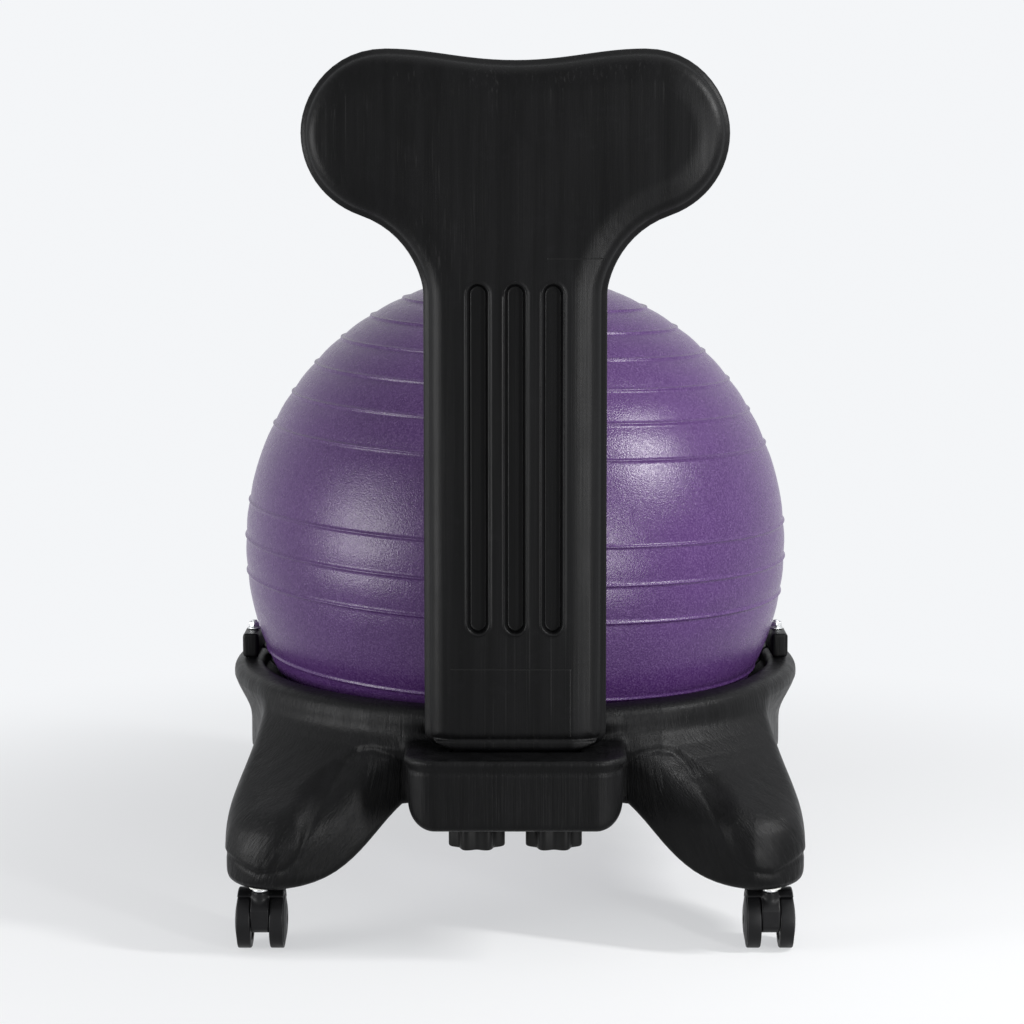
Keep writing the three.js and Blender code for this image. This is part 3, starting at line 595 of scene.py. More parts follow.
def base_field(way):
    """One half of the base: way is -1 for the rear and 1 for the front."""
    def field(x, y, z):
        across, out = np.abs(x), way * y
        radius = np.hypot(x, y)
        form = ring_distance(radius, z)
        form = smooth_min(form, leg_field(across, out, z, radius), LEG_BLEND)
        form = form + panel_depth(across, out, z)
        form = smooth_max(form, -arch_field(across, out, z), ARCH_ROUNDING)
        if way < 0:
            form = rear_form(form, x, across, out, z)
        else:
            form = front_form(form, across, out, y, z)
        ball = np.minimum((z - seat_height(radius)) * math.sin(SEAT_ANGLE), LIP_INNER - radius)
        form = np.maximum(form, ball)
        bore = np.maximum(np.hypot(across - FOOT_X, out - FOOT_Y) - BORE_RADIUS, z - BORE_TOP)
        bolt = np.hypot(across - LAP_BOLT_X, y)
        pocket = np.maximum(bolt - LAP_POCKET_RADIUS, z - LAP_POCKET_TOP)
        return np.maximum(form, -np.minimum(np.minimum(bore, pocket), bolt - LAP_BOLT_HOLE))

    return field


# Backrest

backrest_low, backrest_high = node_box("backrest")
BACKREST_MIDDLE = (backrest_low[1] + backrest_high[1]) / 2
BACKREST_HALF = (backrest_high[1] - backrest_low[1]) / 2
TOTAL_HEIGHT = backrest_high[2]
POST_SIDE = 78.7
POST_BOTTOM = 185
POST_CORNER = (56, 16)
POST_EDGE = 17.2
# How much sharper the edges are on the pad, and at the post's lower end
PAD_EDGE = 2.2
END_EDGE, END_HEIGHT, END_SPAN = 13, 10, 3
PAD_START, PAD_SPAN = 560, 60
REAR_SPAN = 6
SHOULDER_DEPTH, SHOULDER_REACH, SHOULDER_SPAN = 4.6, 32, 26
DISH_DEPTH, DISH_INSET, DISH_SPAN = 2.2, 15, 70

GROOVE_TOP = TOTAL_HEIGHT - 197
GROOVE_BOTTOM = POST_BOTTOM + 101
GROOVE_SPACING = 32
GROOVE_HALF = 10.5
GROOVE_DEPTH = 7
GROOVE_WALL, GROOVE_WALL_SPAN = 1.6, 2.6
GROOVE_RIM, GROOVE_RIM_PLACE, GROOVE_RIM_WIDTH = 1.1, 0.5, 0.95

TONGUE_BOTTOM = backrest_low[2]
TONGUE_SIDE = 56
TONGUE_INSET = 3.5
TONGUE_LAP = 20
TONGUE_EDGE = 2
TONGUE_BLEND = 3
TONGUE_NECK, TONGUE_NECK_DROP, TONGUE_NECK_SPAN = 9, 2, 3
INSERT_BORE, INSERT_BORE_DEPTH = 8.3, 24
STUD_BORE, STUD_BORE_DEPTH = 5.3, 29

NECK = (POST_SIDE, TOTAL_HEIGHT - 207.5)
PAD_LOWER = (132.5, TOTAL_HEIGHT - 141)
PAD_WIDEST = (182.5, TOTAL_HEIGHT - 71)
LOBE = (110, TOTAL_HEIGHT)
DIP = (0, TOTAL_HEIGHT - 9.7)
CORNER_SHARES = ((0.6, 0), (1, 0.35))
NECK_SHARES = ((0, 0.17), (0.2, 0.78))
PAD_LOWER_SHARES = ((0.56, 0.14), (1, 0.51))
PAD_UPPER_SHARES = ((0, 0.44), (0.35, 1))
PAD_TOP_SHARES = ((0.35, 0), (0.6, 1))
PAST_MIDDLE = -60
backrest_outline = [
    (PAST_MIDDLE, POST_BOTTOM),
    *curve((POST_CORNER[0], POST_BOTTOM), (POST_SIDE, POST_BOTTOM + POST_CORNER[1]), CORNER_SHARES, 9),
    *curve(NECK, PAD_LOWER, NECK_SHARES),
    *curve(PAD_LOWER, PAD_WIDEST, PAD_LOWER_SHARES)[1:],
    *curve(PAD_WIDEST, LOBE, PAD_UPPER_SHARES)[1:],
    *curve(LOBE, DIP, PAD_TOP_SHARES)[1:],
    (PAST_MIDDLE, DIP[1]),
]


def groove_depth(x, z):
    """How deep the rear face lies in the three grooves; each has a thin raised rim."""
    depth = 0
    nearest = np.clip(z, GROOVE_BOTTOM + GROOVE_HALF, GROOVE_TOP - GROOVE_HALF)
    for i in (-1, 0, 1):
        inward = GROOVE_HALF - np.hypot(x - i * GROOVE_SPACING, z - nearest)
        wall = GROOVE_DEPTH * ease((inward - GROOVE_WALL) / GROOVE_WALL_SPAN)
        depth = depth + wall - GROOVE_RIM * bump((inward - GROOVE_RIM_PLACE) / GROOVE_RIM_WIDTH)
    return depth


def tongue_field(x, offset, z):
    tongue = block(
        (x, offset, z),
        (-TONGUE_SIDE, TONGUE_INSET - BACKREST_HALF, TONGUE_BOTTOM),
        (TONGUE_SIDE, BACKREST_HALF - TONGUE_INSET, POST_BOTTOM + TONGUE_LAP),
        TONGUE_EDGE,
    )
    return tongue + TONGUE_NECK * ease((z - BOX_TOP + TONGUE_NECK_DROP) / TONGUE_NECK_SPAN)


def backrest_field(x, y, z):
    edge = outline_distance(np.abs(x), z, backrest_outline)
    offset = y - BACKREST_MIDDLE
    on_pad = ease((z - PAD_START) / PAD_SPAN)
    at_end = ease((POST_BOTTOM + END_HEIGHT - z) / END_SPAN)
    form = slab(edge, offset, BACKREST_HALF, POST_EDGE - PAD_EDGE * on_pad - END_EDGE * at_end)
    behind = ease(-offset / REAR_SPAN)
    # On the post the shoulder follows the two sides, and not the bottom edge
    side = np.where(z < GROOVE_BOTTOM, np.abs(x) - POST_SIDE, edge)
    shoulder = SHOULDER_DEPTH * ease((side + SHOULDER_REACH) / SHOULDER_SPAN)
    dish = DISH_DEPTH * ease((-edge - DISH_INSET) / DISH_SPAN) * on_pad
    form = form + behind * (dish + shoulder + groove_depth(x, z))
    stud = np.hypot(np.abs(x) - KNOB_X, offset)
    bore = np.maximum(stud - INSERT_BORE, z - TONGUE_BOTTOM - INSERT_BORE_DEPTH)
    hole = np.maximum(stud - STUD_BORE, z - TONGUE_BOTTOM - STUD_BORE_DEPTH)
    form = smooth_min(form, tongue_field(x, offset, z), TONGUE_BLEND)
    return np.maximum(form, -np.minimum(bore, hole))


# Knobs

knob_low, knob_high = node_box("knob_head_right")
KNOB_RADIUS = 25
KNOB_LOBES = 7
KNOB_LOBE_DEPTH = 4.5
KNOB_HUB = 12
KNOB_HUB_SPAN = KNOB_RADIUS - 14
KNOB_GRIP_TOP = knob_high[2] - 2
KNOB_BORE_BOTTOM = KNOB_GRIP_TOP - 11.7
KNOB_COLLAR = (10, 10.6)
KNOB_DISH = (16, 13)
KNOB_DISH_DEPTH = 2
KNOB_EDGE = 2.4
KNOB_SIDES = 140


def star(angles, radius):
    """Reach of the star outline, which flattens towards a circle near the hub."""
    share = ease((radius - KNOB_HUB) / KNOB_HUB_SPAN)
    dip = 0.5 - 0.5 * np.cos(KNOB_LOBES * (math.pi / 2 - angles))
    return radius - share * KNOB_LOBE_DEPTH * dip


def make_knob():
    bottom, top = knob_low[2], knob_high[2]
    dished = bottom + KNOB_DISH_DEPTH
    outer = [
        (STUD_BORE, KNOB_BORE_BOTTOM), (STUD_BORE, top), (KNOB_COLLAR[0], top),
        (KNOB_COLLAR[1], KNOB_GRIP_TOP), (KNOB_RADIUS, KNOB_GRIP_TOP), (KNOB_RADIUS, bottom),
        (KNOB_DISH[0], bottom), (KNOB_DISH[1], dished), (0, dished),
    ]
    profile = [(0, KNOB_BORE_BOTTOM)] + rounded(outer, KNOB_EDGE, 5)
    return around(profile, KNOB_SIDES, star)


# Casters, drawn with the stem's axis at x = y = 0 and the wheels trailing towards +Y

TRAIL = 12
WHEEL_RADIUS = 25
WHEEL_WIDTH = 12
WHEEL_INNER = 8.25
WHEEL_DISH = 1.5
WHEEL_EDGE = 1.6
WHEEL_SIDES = 72
COVER_PROUD = 2.2
COVER_LIP = 0.6
COVER_GROOVE = 0.8
AXLE_RADIUS = 3
STEM_RADIUS = 4
STEM_BORE_BOTTOM = 38
frame_low, frame_high = node_box("caster_frame_rear_right")
HOOD_HALF = (frame_high[0] - frame_low[0]) / 2
HOOD_RADIUS = 27.2
HOOD_WALL = 1.2
# In degrees round the axle
HOOD_MIDDLE, HOOD_REACH = 75, 45
HOOD_EDGE = 1.5
WEB_REACH, WEB_DROP = 23.5, 10
WEB_REAR = 11.5
WEB_EDGE = 1
WEB_BLEND = 1.5
BARREL_TOP = frame_high[2]
BARREL_BOTTOM = 28
BARREL_RADIUS = 6.6
BARREL_BLEND = 2.5
COLLAR_ROOM = 7.3
RADIAN = 57.3
CASTER_LOW, CASTER_HIGH = np.array([-22.5, -18, 7]), np.array([22.5, 42, 56])


def caster_field(x, y, z):
    """A hood over both wheels, a web between them, and the barrel that holds the stem."""
    along, above = y - TRAIL, z - WHEEL_RADIUS
    radius = np.hypot(along, above)
    angle = np.degrees(np.arctan2(above, along))
    wedge = (np.abs(angle - HOOD_MIDDLE) - HOOD_REACH) * radius / RADIAN
    shell = np.abs(radius - HOOD_RADIUS) - HOOD_WALL
    hood = smooth_max(np.maximum(shell, wedge), np.abs(x) - HOOD_HALF, HOOD_EDGE)
    low = (np.hypot(along / WEB_REACH, above / WEB_DROP) - 1) * WEB_DROP
    upper = np.maximum(np.maximum(radius - HOOD_RADIUS, -WEB_REAR - y), WHEEL_RADIUS - z)
    disc = np.minimum(low, np.maximum(upper, along - WEB_REACH))
    web = smooth_max(disc, np.abs(x) - WHEEL_INNER + FIT_GAP, WEB_EDGE)
    column = np.hypot(x, y)
    barrel = np.maximum(column - BARREL_RADIUS, np.maximum(BARREL_BOTTOM - z, z - BARREL_TOP))
    form = smooth_min(smooth_min(hood, web, WEB_BLEND), barrel, BARREL_BLEND)
    bore = np.maximum(column - STEM_RADIUS - FIT_GAP, STEM_BORE_BOTTOM - z)
    axle = radius - AXLE_RADIUS - FIT_GAP
    collar = np.maximum(column - COLLAR_ROOM, BARREL_TOP - z)
    return np.maximum(form, -np.minimum(np.minimum(bore, axle), collar))


def make_wheel(side):
    """A wheel with a rounded tread and a domed cover, as the axle's side sees it."""
    inner, outer = WHEEL_INNER, WHEEL_INNER + WHEEL_WIDTH
    hole = AXLE_RADIUS + FIT_GAP
    profile = rounded([
        (hole, inner + WHEEL_DISH), (18, inner + WHEEL_DISH), (18.6, inner), (WHEEL_RADIUS, inner),
        (WHEEL_RADIUS, outer), (22.6, outer), (22.2, outer - COVER_GROOVE), (21.4, outer - COVER_GROOVE),
        (20.6, outer + COVER_LIP), (12, outer + COVER_PROUD), (hole, outer + COVER_PROUD),
    ], WHEEL_EDGE, 4)
    vertices, faces = around(profile, WHEEL_SIDES)
    turned = np.stack([side * vertices[:, 2], vertices[:, 0] + TRAIL, vertices[:, 1] + WHEEL_RADIUS], 1)
    return turned, faces if side > 0 else [face[::-1] for face in faces]


# Sleeves and stems of the casters, and the valve plug

socket_low, socket_high = node_box("caster_socket_rear_right")
stem_low, stem_high = node_box("caster_stem_rear_right")
plug_low, plug_high = node_box("valve_plug")
SLEEVE_BORE, SLEEVE_RADIUS, FLANGE_RADIUS = 4.3, 7.5, 9.5
FLANGE_TOP = 58.2
STEM_COLLAR_RADIUS, STEM_COLLAR_HEIGHT = 7, 2
STEM_COLLAR_TOP = socket_low[2] - FIT_GAP
SMALL_EDGE = 0.5
SMALL_SIDES = 40
PLUG_HEAD_RADIUS, PLUG_RADIUS, PLUG_TIP_RADIUS = 9, 5, 2.5
PLUG_HEAD_TOP = plug_low[2] + 2
PLUG_EDGE = 0.8


def make_sleeve():
    profile = [
        (SLEEVE_BORE, socket_low[2]), (FLANGE_RADIUS, socket_low[2]), (FLANGE_RADIUS, FLANGE_TOP),
        (SLEEVE_RADIUS, FLANGE_TOP), (SLEEVE_RADIUS, socket_high[2]), (SLEEVE_BORE, socket_high[2]),
    ]
    return around(rounded(profile, SMALL_EDGE, 3), SMALL_SIDES)


def make_stem():
    collar_bottom = STEM_COLLAR_TOP - STEM_COLLAR_HEIGHT
    profile = [
        (0, stem_low[2]), (STEM_RADIUS, stem_low[2]), (STEM_RADIUS, collar_bottom),
        (STEM_COLLAR_RADIUS, collar_bottom), (STEM_COLLAR_RADIUS, STEM_COLLAR_TOP),
        (STEM_RADIUS, STEM_COLLAR_TOP), (STEM_RADIUS, stem_high[2]), (0, stem_high[2]),
    ]
    return around(rounded(profile, SMALL_EDGE, 3), SMALL_SIDES)


def make_plug():
    middle = (PLUG_HEAD_TOP + plug_high[2]) / 2
    profile = [
        (0, plug_low[2]), (PLUG_HEAD_RADIUS, plug_low[2]), (PLUG_HEAD_RADIUS, PLUG_HEAD_TOP),
        (PLUG_RADIUS, PLUG_HEAD_TOP), (PLUG_RADIUS, middle), (PLUG_TIP_RADIUS, plug_high[2]),
        (0, plug_high[2]),
    ]
    return around(rounded(profile, PLUG_EDGE, 4), SMALL_SIDES)


# Lap bolts, nuts and washers

BOLT_RADIUS = 3
BOLT_HEAD_HEIGHT = 4
BOLT_OVERLAP = 1
CORNER_CHAMFER = 0.7
FASTENER_SIDES = 72
THREAD_SIDES = 32
THREAD_PITCH = 1
THREAD_STEPS = 8
THREAD_DEPTH = 0.45
TIP_CHAMFER = 0.9
WASHER_RADIUS = 6.5
WASHER_EDGE = 0.4
WASHER_SIDES = 48


def hexagon(across):
    """A reach for a hexagonal row, and a round one where the row is narrower than its flats."""
    def reach(angles, radius):
        turn = np.mod(angles + math.pi / 6, math.pi / 3) - math.pi / 6
        return np.minimum(across / 2 / np.cos(turn), radius)
    return reach


def make_thread(radius, low, high):
    """A rod with a thread cut in it and a chamfered end."""
    step = THREAD_PITCH / THREAD_STEPS
    heights = np.arange(low, high + step / 2, step)
    angles = np.arange(THREAD_SIDES) * 2 * math.pi / THREAD_SIDES
    vertices, rows = [(0, 0, low)], [[0]]
    for height in heights:
        phase = np.mod(height / THREAD_PITCH - angles / (2 * math.pi), 1)
        row = radius - THREAD_DEPTH * THREAD_PITCH * np.abs(2 * phase - 1)
        row = np.minimum(row, radius - TIP_CHAMFER + (high - height))
        rows.append(list(range(len(vertices), len(vertices) + THREAD_SIDES)))
        vertices += list(zip(row * np.cos(angles), row * np.sin(angles), np.full(THREAD_SIDES, height)))
    rows.append([len(vertices)])
    vertices.append((0, 0, high))
    return np.array(vertices), rows_to_faces(rows, closed=False)


def joined(*shapes):
    vertices, faces, start = [], [], 0
    for points, polygons in shapes:
        vertices.append(points)
        faces += [[start + int(i) for i in face] for face in polygons]
        start += len(points)
    return np.concatenate(vertices), faces


def make_nut(low, high, across):
    flat, corner = across / 2, across / 2 / math.cos(math.pi / 6)
    profile = [
        (LAP_BOLT_HOLE, low), (flat, low), (corner, low + CORNER_CHAMFER),
        (corner, high - CORNER_CHAMFER), (flat, high), (LAP_BOLT_HOLE, high),
    ]
    return around(profile, FASTENER_SIDES, hexagon(across))


def make_bolt(low, high, across):
    flat, corner = across / 2, across / 2 / math.cos(math.pi / 6)
    top = low + BOLT_HEAD_HEIGHT
    profile = [(0, low), (flat, low), (corner, low + CORNER_CHAMFER), (corner, top), (0, top)]
    head = around(profile, FASTENER_SIDES, hexagon(across))
    return joined(head, make_thread(BOLT_RADIUS, top - BOLT_OVERLAP, high))


def make_washer(low, high):
    profile = [(LAP_BOLT_HOLE, low), (WASHER_RADIUS, low), (WASHER_RADIUS, high), (LAP_BOLT_HOLE, high)]
    return around(rounded(profile, WASHER_EDGE, 3), WASHER_SIDES)


# Materials

def feed(tree, socket, value):
    """Links a socket to another one, or sets its value."""
    if isinstance(value, bpy.types.NodeSocket):
        tree.links.new(value, socket)
    else:
        socket.default_value = value


def add(tree, kind, inputs=None, **settings):
    """Adds a shader node; inputs are values, or sockets to link."""
    node = tree.nodes.new("ShaderNode" + kind)
    for key, value in settings.items():
        setattr(node, key, value)
    for key, value in (inputs or {}).items():
        feed(tree, node.inputs[key], value)
    return node


# A Mix node's sockets for colours, which share their names with its other ones
MIX_FACTOR, MIX_A, MIX_B, MIX_RESULT = 0, 6, 7, 2


class Look:
    """A material on one Principled shader, with short names for the nodes used here."""

    def __init__(self, name):
        self.material = bpy.data.materials.new(name)
        self.material.use_nodes = True
        self.tree = self.material.node_tree
        self.shader = self.tree.nodes["Principled BSDF"]
        self.place = add(self.tree, "TexCoord").outputs["Object"]

    def set(self, key, value):
        feed(self.tree, self.shader.inputs[key], value)

    def stretched(self, scale, vector=None):
        inputs = {"Vector": vector or self.place, "Scale": scale}
        return add(self.tree, "Mapping", inputs).outputs["Vector"]

    def flowing(self, lean):
        """The place, with X moved sideways by its height, so that streaks lean and bend."""
        parts = add(self.tree, "SeparateXYZ", {0: self.place}).outputs
        rise = {"Value": parts["Z"], "From Min": 0.05, "From Max": 0.2, "To Min": 0, "To Max": lean}
        shift = add(self.tree, "MapRange", rise, interpolation_type="SMOOTHSTEP").outputs["Result"]
        out = self.math("ABSOLUTE", parts["X"])
        shift = self.math("MULTIPLY", shift, self.ramp(out, 0.095, 0.13))
        side = self.math("MULTIPLY", self.math("SIGN", parts["X"]), 3)
        across = self.math("ADD", self.math("ADD", out, shift), side)
        moved_place = {"X": across, "Y": parts["Y"], "Z": parts["Z"]}
        return add(self.tree, "CombineXYZ", moved_place).outputs["Vector"]

    def line(self, start, end):
        """1 on a straight line from start to end in X and Z, in metres, and 0 off it."""
        parts = add(self.tree, "SeparateXYZ", {0: self.place}).outputs
        result = self.ramp(parts["Y"], -0.27, -0.26, 1, 0)
        for socket, low, high in zip((parts["X"], parts["Z"]), start, end):
            off = self.math("ABSOLUTE", self.math("SUBTRACT", socket, (low + high) / 2))
            reach = (high - low) / 2
            on = self.ramp(off, reach + LINE_CORE, reach + LINE_FADE, 1, 0)
            result = self.math("MULTIPLY", result, on)
        return result

    def noise(self, scale, detail=3, roughness=0.5, vector=None):
        inputs = {
            "Vector": vector or self.place, "Scale": scale, "Detail": detail, "Roughness": roughness,
        }
        return add(self.tree, "TexNoise", inputs).outputs["Fac"]

    def ramp(self, value, low, high, start=0, end=1):
        inputs = {"Value": value, "From Min": low, "From Max": high, "To Min": start, "To Max": end}
        return add(self.tree, "MapRange", inputs).outputs["Result"]

    def math(self, operation, a, b=0):
        return add(self.tree, "Math", {0: a, 1: b}, operation=operation).outputs[0]

    def mix(self, factor, a, b):
        inputs = {MIX_FACTOR: factor, MIX_A: a, MIX_B: b}
        return add(self.tree, "Mix", inputs, data_type="RGBA").outputs[MIX_RESULT]

    def relief(self, height, distance, strength=1, normal=None):
        inputs = {"Height": height, "Distance": distance, "Strength": strength}
        if normal is not None:
            inputs["Normal"] = normal
        return add(self.tree, "Bump", inputs).outputs["Normal"]


def grey(value, blue=1.0):
    return (value, value, value * blue, 1)


def scaled(tone, share):
    return [channel * share for channel in tone[:3]] + [1]


LINE_CORE, LINE_FADE = 0.0002, 0.0008
PLASTIC_TONES = (grey(0.0012, 1.1), grey(0.0032, 1.1))
SCUFF_TONE = grey(0.008, 1.1)
SCRATCH_TONE = grey(0.03)
INSERT_TONE = grey(0.007)
FINE_STREAKS = 7
VINYL_TONES = ((0.040, 0.012, 0.075, 1), (0.054, 0.018, 0.097, 1))
VINYL_SPECKLE = (0.120, 0.066, 0.178, 1)
# Mould insert lines on the backrest, each a start and an end in X and Z, in metres
INSERT_LINES = (
    ((-0.0555, 0.2569), (0.0478, 0.2569)),
    ((0.0478, 0.199), (0.0478, 0.2569)),
    ((0.028, 0.6097), (0.0736, 0.6097)),
)


def moulded_plastic(name, streaked, relief, lean=0.0, lines=()):
    """Black blow-moulded plastic: soft sheen, drawn streaks, fine long scratches, scuffs and grain.

    lean is how far the streaks spread outwards from the feet up to the ring; lines are mould insert
    lines on the rear face.
    """
    look = Look(name)
    flow = look.flowing(lean)
    streaks = look.noise(1, 5, 0.6, look.stretched(streaked, flow))
    finer = [FINE_STREAKS * streaked[0], FINE_STREAKS * streaked[1], streaked[2]]
    fine = look.noise(1, 3, 0.6, look.stretched(finer, flow))
    patches = look.ramp(look.noise(11, 2), 0.48, 0.62)
    scuffs = look.ramp(look.noise(60, 6, 0.7), 0.56, 0.72)
    tone = look.mix(look.ramp(streaks, 0.35, 0.75), *PLASTIC_TONES)
    tone = look.mix(look.math("MULTIPLY", scuffs, 0.25), tone, SCUFF_TONE)
    marks = look.math("MULTIPLY", look.ramp(fine, 0.58, 0.72, 0, 0.4), patches)
    tone = look.mix(marks, tone, SCRATCH_TONE)
    gloss = look.ramp(look.noise(9, 2), 0.3, 0.7, 0.36, 0.44)
    gloss = look.math("ADD", gloss, look.ramp(streaks, 0.3, 0.7, -0.05, 0.08))
    height = look.math("ADD", streaks, look.math("MULTIPLY", fine, 0.5))
    for start, end in lines:
        groove = look.line(start, end)
        tone = look.mix(groove, tone, INSERT_TONE)
        height = look.math("SUBTRACT", height, groove)
    look.set("Base Color", tone)
    look.set("Roughness", gloss)
    look.set("Specular IOR Level", 0.115)
    grain = look.relief(look.noise(1500, 2), 0.00012, 0.6)
    wave = look.relief(look.noise(28, 2), 0.0012, 0.35, grain)
    look.set("Normal", look.relief(height, relief, 0.8, wave))
    return look.material


def ball_vinyl():
    look = Look("ball_vinyl")
    speckle = look.noise(700, 3, 0.7)
    cloud = look.noise(7, 4, 0.6)
    base = look.mix(look.ramp(cloud, 0.35, 0.7), *VINYL_TONES)
    base = look.mix(look.ramp(speckle, 0.45, 0.7), base, VINYL_SPECKLE)
    look.set("Base Color", base)
    look.set("Roughness", look.ramp(look.noise(160, 3), 0.3, 0.7, 0.25, 0.32))
    look.set("Specular IOR Level", 0.28)
    grain = look.relief(look.noise(700, 2), 0.0004, 0.8)
    look.set("Normal", look.relief(look.noise(90, 3), 0.0003, 0.4, grain))
    return look.material


def plain_plastic(name, tone, roughness, level=0.3):
    look = Look(name)
    patches = look.ramp(look.noise(120, 4), 0.3, 0.7)
    look.set("Base Color", look.mix(patches, tone, scaled(tone, 1.35)))
    gloss = look.ramp(look.noise(90, 3), 0.3, 0.7, roughness - 0.05, roughness + 0.08)
    look.set("Roughness", gloss)
    look.set("Specular IOR Level", level)
    look.set("Normal", look.relief(look.noise(1400, 2), 0.0001, 0.5))
    return look.material


def metal(name, tone, roughness):
    look = Look(name)
    look.set("Metallic", 1)
    stains = look.ramp(look.noise(500, 5), 0.3, 0.7)
    look.set("Base Color", look.mix(stains, tone, scaled(tone, 0.78)))
    gloss = look.ramp(look.noise(300, 4), 0.3, 0.7, roughness - 0.06, roughness + 0.1)
    look.set("Roughness", gloss)
    look.set("Normal", look.relief(look.noise(900, 3), 0.00008, 0.5))
    return look.material


BASE_PLASTIC = moulded_plastic("base_plastic", (80, 80, 6), 0.0012, lean=0.075)
BACKREST_PLASTIC = moulded_plastic("backrest_plastic", (90, 90, 3), 0.0003, lines=INSERT_LINES)
BALL_VINYL = ball_vinyl()
KNOB_PLASTIC = plain_plastic("knob_plastic", grey(0.004), 0.42, 0.14)
CASTER_PLASTIC = plain_plastic("caster_plastic", grey(0.0045, 1.1), 0.45, 0.16)
PLUG_PLASTIC = plain_plastic("plug_plastic", (0.72, 0.72, 0.69, 1), 0.45)
ZINC = metal("zinc_steel", (0.74, 0.75, 0.76, 1), 0.36)
BRASS = metal("brass_insert", (0.60, 0.42, 0.18, 1), 0.35)


# Pieces

STEP = 2
BACKREST_STEP = STEP * 0.6
CASTER_STEP = 0.8
MARGIN_STEPS = 2.5


def moved(shape, x, y, z=0):
    vertices, faces = shape
    return vertices + np.array([x, y, z]), faces


def repaint(node, material):
    """Gives a CAD node that stays in view a new material."""
    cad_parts[node].data.materials.clear()
    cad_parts[node].data.materials.append(material)


def surface_piece(name, field, low, high, step):
    margin = np.full(3, MARGIN_STEPS * step)
    return new_object(name, *surface(field, low - margin, high + margin, step))


def place_ball():
    ball = new_object("ball_skin", *make_ball())
    dress(ball, "ball", "ball_vinyl", BALL_VINYL, "ball")


def place_base():
    for node, way in (("rear_base", -1), ("front_base", 1)):
        low, high = node_box(node)
        half = surface_piece(node + "_shell", base_field(way), low, high, STEP)
        dress(half, "root", "base_plastic", BASE_PLASTIC, node)


def place_backrest():
    shell = surface_piece("backrest_shell", backrest_field, backrest_low, backrest_high, BACKREST_STEP)
    dress(shell, "root", "backrest_plastic", BACKREST_PLASTIC, "backrest")


def place_knob(side, sign):
    knob = new_object(f"star_knob_{side}", *moved(make_knob(), sign * KNOB_X, -KNOB_Y))
    dress(knob, f"knob_{side}", "knob_plastic", KNOB_PLASTIC, f"knob_head_{side}")
    repaint(f"knob_stud_{side}", ZINC)
    repaint(f"threaded_insert_{side}", BRASS)


def place_lap_fasteners(side, sign):
    x = sign * LAP_BOLT_X
    nut_low, nut_high = node_box(f"lap_nut_{side}")
    across = nut_high[0] - nut_low[0]
    nut = new_object(f"zinc_nut_{side}", *moved(make_nut(nut_low[2], nut_high[2], across), x, 0))
    dress(nut, "root", "zinc_steel", ZINC, f"lap_nut_{side}")
    low, high = node_box(f"lap_bolt_{side}")
    bolt = new_object(f"zinc_bolt_{side}", *moved(make_bolt(low[2], high[2], across), x, 0))
    dress(bolt, "root", "zinc_steel", ZINC, f"lap_bolt_{side}")
    for node in (f"lap_washer_top_{side}", f"lap_washer_bottom_{side}"):
        low, high = node_box(node)
        washer = new_object(node + "_turned", *moved(make_washer(low[2], high[2]), x, 0))
        dress(washer, "root", "zinc_steel", ZINC, node)


def place_casters():
    fork_shape = surface(caster_field, CASTER_LOW, CASTER_HIGH, CASTER_STEP)
    stem_shape, sleeve_shape = make_stem(), make_sleeve()
    wheels = {"left": make_wheel(-1), "right": make_wheel(1)}
    for place, (sx, sy) in PLACES.items():
        at = (sx * FOOT_X, sy * FOOT_Y)
        body = f"caster_{place}"
        fork = new_object(f"fork_{place}", *moved(fork_shape, *at))
        dress(fork, body, "caster_plastic", CASTER_PLASTIC, f"caster_frame_{place}")
        stem = new_object(f"stem_{place}", *moved(stem_shape, *at))
        dress(stem, body, "zinc_steel", ZINC, f"caster_stem_{place}")
        sleeve = new_object(f"sleeve_{place}", *moved(sleeve_shape, *at))
        dress(sleeve, "root", "plug_plastic", PLUG_PLASTIC, f"caster_socket_{place}")
        repaint(f"caster_axle_{place}", ZINC)
        for side, wheel in wheels.items():
            tyre = new_object(f"tyre_{side}_{place}", *moved(wheel, *at))
            dress(tyre, f"wheel_{side}_{place}", "caster_plastic", CASTER_PLASTIC, f"wheel_{side}_{place}")


def place_plug():
    plug = new_object("valve_plug_turned", *make_plug())
    dress(plug, "valve_plug", "plug_plastic", PLUG_PLASTIC, "valve_plug")


place_ball()
place_base()
place_backrest()
for side, sign in SIDES.items():
    place_knob(side, sign)
    place_lap_fasteners(side, sign)
place_casters()
place_plug()


# Stage

FOCAL_PIXELS = 2667
PHOTO_WIDTH = 1024
SENSOR_WIDTH = 36
CAMERA_PLACE = (-0.0002, -2.5519, 0.710)
CAMERA_PITCH = 5.776
CAMERA_SHIFT = (-0.003, -0.1)
BACKGROUND = (0.905, 0.918, 0.937, 1)
FILL_STRENGTH = 0.25
FLOOR_HALF = 30
FLOOR_TONE = (0.8, 0.8, 0.8, 1)
SHADOW_SHARE = 0.4
SHADOW_NEAR, SHADOW_FAR = 0.4, 1.1
# Each softbox's name, place, target, width and height in metres, and watts
SOFTBOXES = (
    ("key", (1.34, -0.67, 1.3), (0, 0, 0.35), (0.14, 0.5), 30),
    ("strip", (1.15, -1.7, 0.42), (0, 0, 0.35), (0.16, 0.84), 24),
    ("fill", (-1.75, -0.85, 0.5), (0, 0, 0.3), (0.9, 0.9), 31),
    ("top", (0.2, -0.4, 2.2), (0, 0, 0.4), (1.2, 1.2), 3),
)


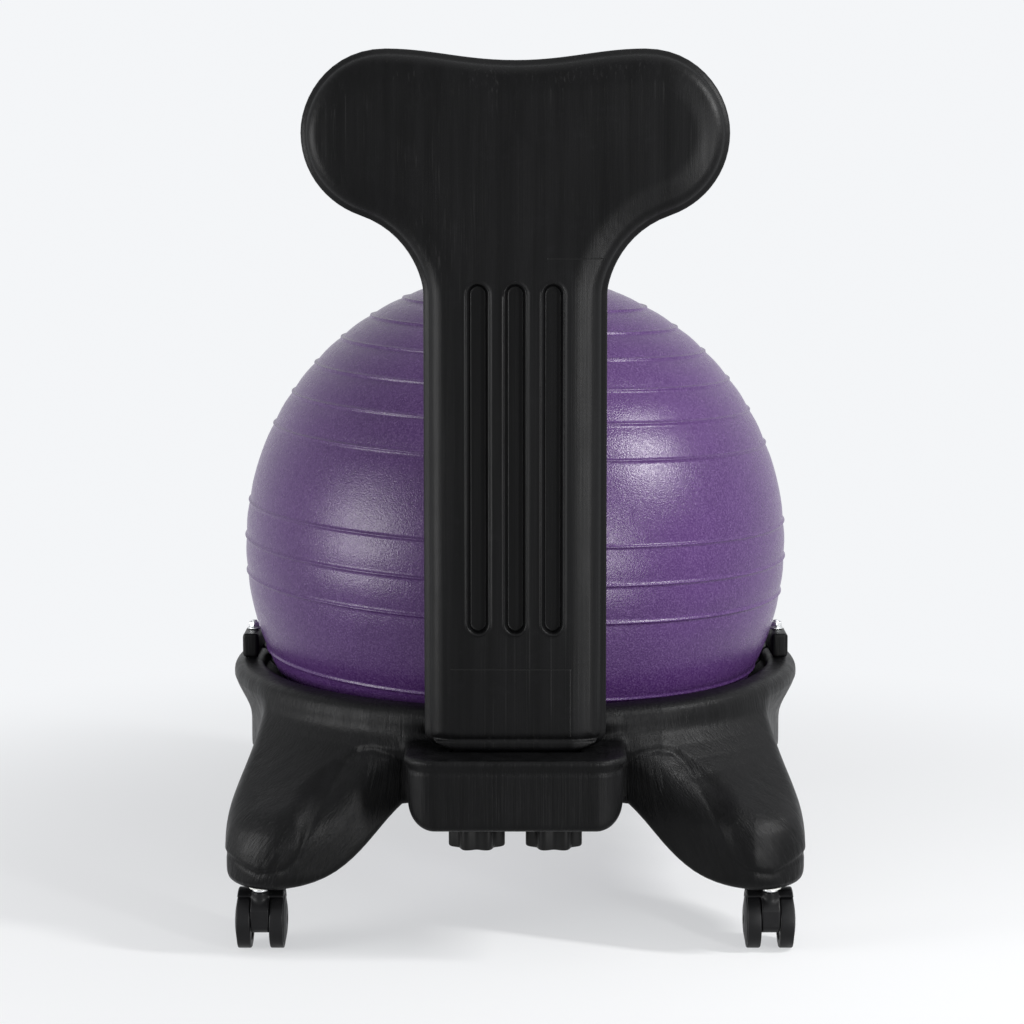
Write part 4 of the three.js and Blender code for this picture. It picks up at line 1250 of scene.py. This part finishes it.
def seen_strength(tree):
    """1 where the camera, a reflection or a clear piece looks, and less for the fill light."""
    path = add(tree, "LightPath").outputs
    seen = path["Is Camera Ray"]
    for ray in ("Is Glossy Ray", "Is Transmission Ray"):
        seen = add(tree, "Math", {0: seen, 1: path[ray]}, operation="MAXIMUM").outputs[0]
    inputs = {"Value": seen, "To Min": FILL_STRENGTH, "To Max": 1.0}
    return add(tree, "MapRange", inputs).outputs["Result"]


def make_world():
    """The pale background for the camera and for reflections, and a softer level of fill light."""
    world = bpy.data.worlds.new("World")
    bpy.context.scene.world = world
    world.use_nodes = True
    tree = world.node_tree
    background = tree.nodes["Background"]
    background.inputs["Color"].default_value = BACKGROUND
    tree.links.new(seen_strength(tree), background.inputs["Strength"])


def floor_material():
    """A pale floor that melts into the background and keeps a soft part of the shadows."""
    material = bpy.data.materials.new("floor")
    material.use_nodes = True
    tree = material.node_tree
    tree.nodes.remove(tree.nodes["Principled BSDF"])
    glow = add(tree, "Emission", {"Color": BACKGROUND, "Strength": seen_strength(tree)})
    matte = add(tree, "BsdfDiffuse", {"Color": FLOOR_TONE})
    place = add(tree, "TexCoord").outputs["Object"]
    far = add(tree, "VectorMath", {0: place}, operation="LENGTH").outputs["Value"]
    fade = {
        "Value": far, "From Min": SHADOW_NEAR, "From Max": SHADOW_FAR, "To Min": SHADOW_SHARE, "To Max": 0,
    }
    share = add(tree, "MapRange", fade, interpolation_type="SMOOTHSTEP").outputs["Result"]
    both = add(tree, "MixShader", {0: share, 1: glow.outputs[0], 2: matte.outputs[0]})
    tree.links.new(both.outputs[0], tree.nodes["Material Output"].inputs["Surface"])
    return material


def make_floor():
    mesh = bpy.data.meshes.new("floor")
    corners = [(x * FLOOR_HALF, y * FLOOR_HALF, 0) for x, y in ((-1, -1), (1, -1), (1, 1), (-1, 1))]
    mesh.from_pydata(corners, [], [(0, 1, 2, 3)])
    mesh.materials.append(floor_material())
    floor = bpy.data.objects.new("floor", mesh)
    bpy.context.scene.collection.objects.link(floor)


def make_softbox(name, place, target, size, watts):
    light = bpy.data.lights.new(name, "AREA")
    light.shape = "RECTANGLE"
    light.size, light.size_y = size
    light.energy = watts
    lamp = bpy.data.objects.new(name, light)
    lamp.location = place
    direction = Vector(target) - Vector(place)
    lamp.rotation_euler = direction.to_track_quat("-Z", "Y").to_euler()
    bpy.context.scene.collection.objects.link(lamp)


def make_camera():
    data = bpy.data.cameras.new("camera")
    data.sensor_width = SENSOR_WIDTH
    data.lens = FOCAL_PIXELS / PHOTO_WIDTH * SENSOR_WIDTH
    data.shift_x, data.shift_y = CAMERA_SHIFT
    camera = bpy.data.objects.new("camera", data)
    camera.location = CAMERA_PLACE
    camera.rotation_euler = (math.radians(90 - CAMERA_PITCH), 0, 0)
    bpy.context.scene.collection.objects.link(camera)
    bpy.context.scene.camera = camera


make_world()
make_floor()
for softbox in SOFTBOXES:
    make_softbox(*softbox)
make_camera()
bpy.context.scene.view_settings.view_transform = "Standard"
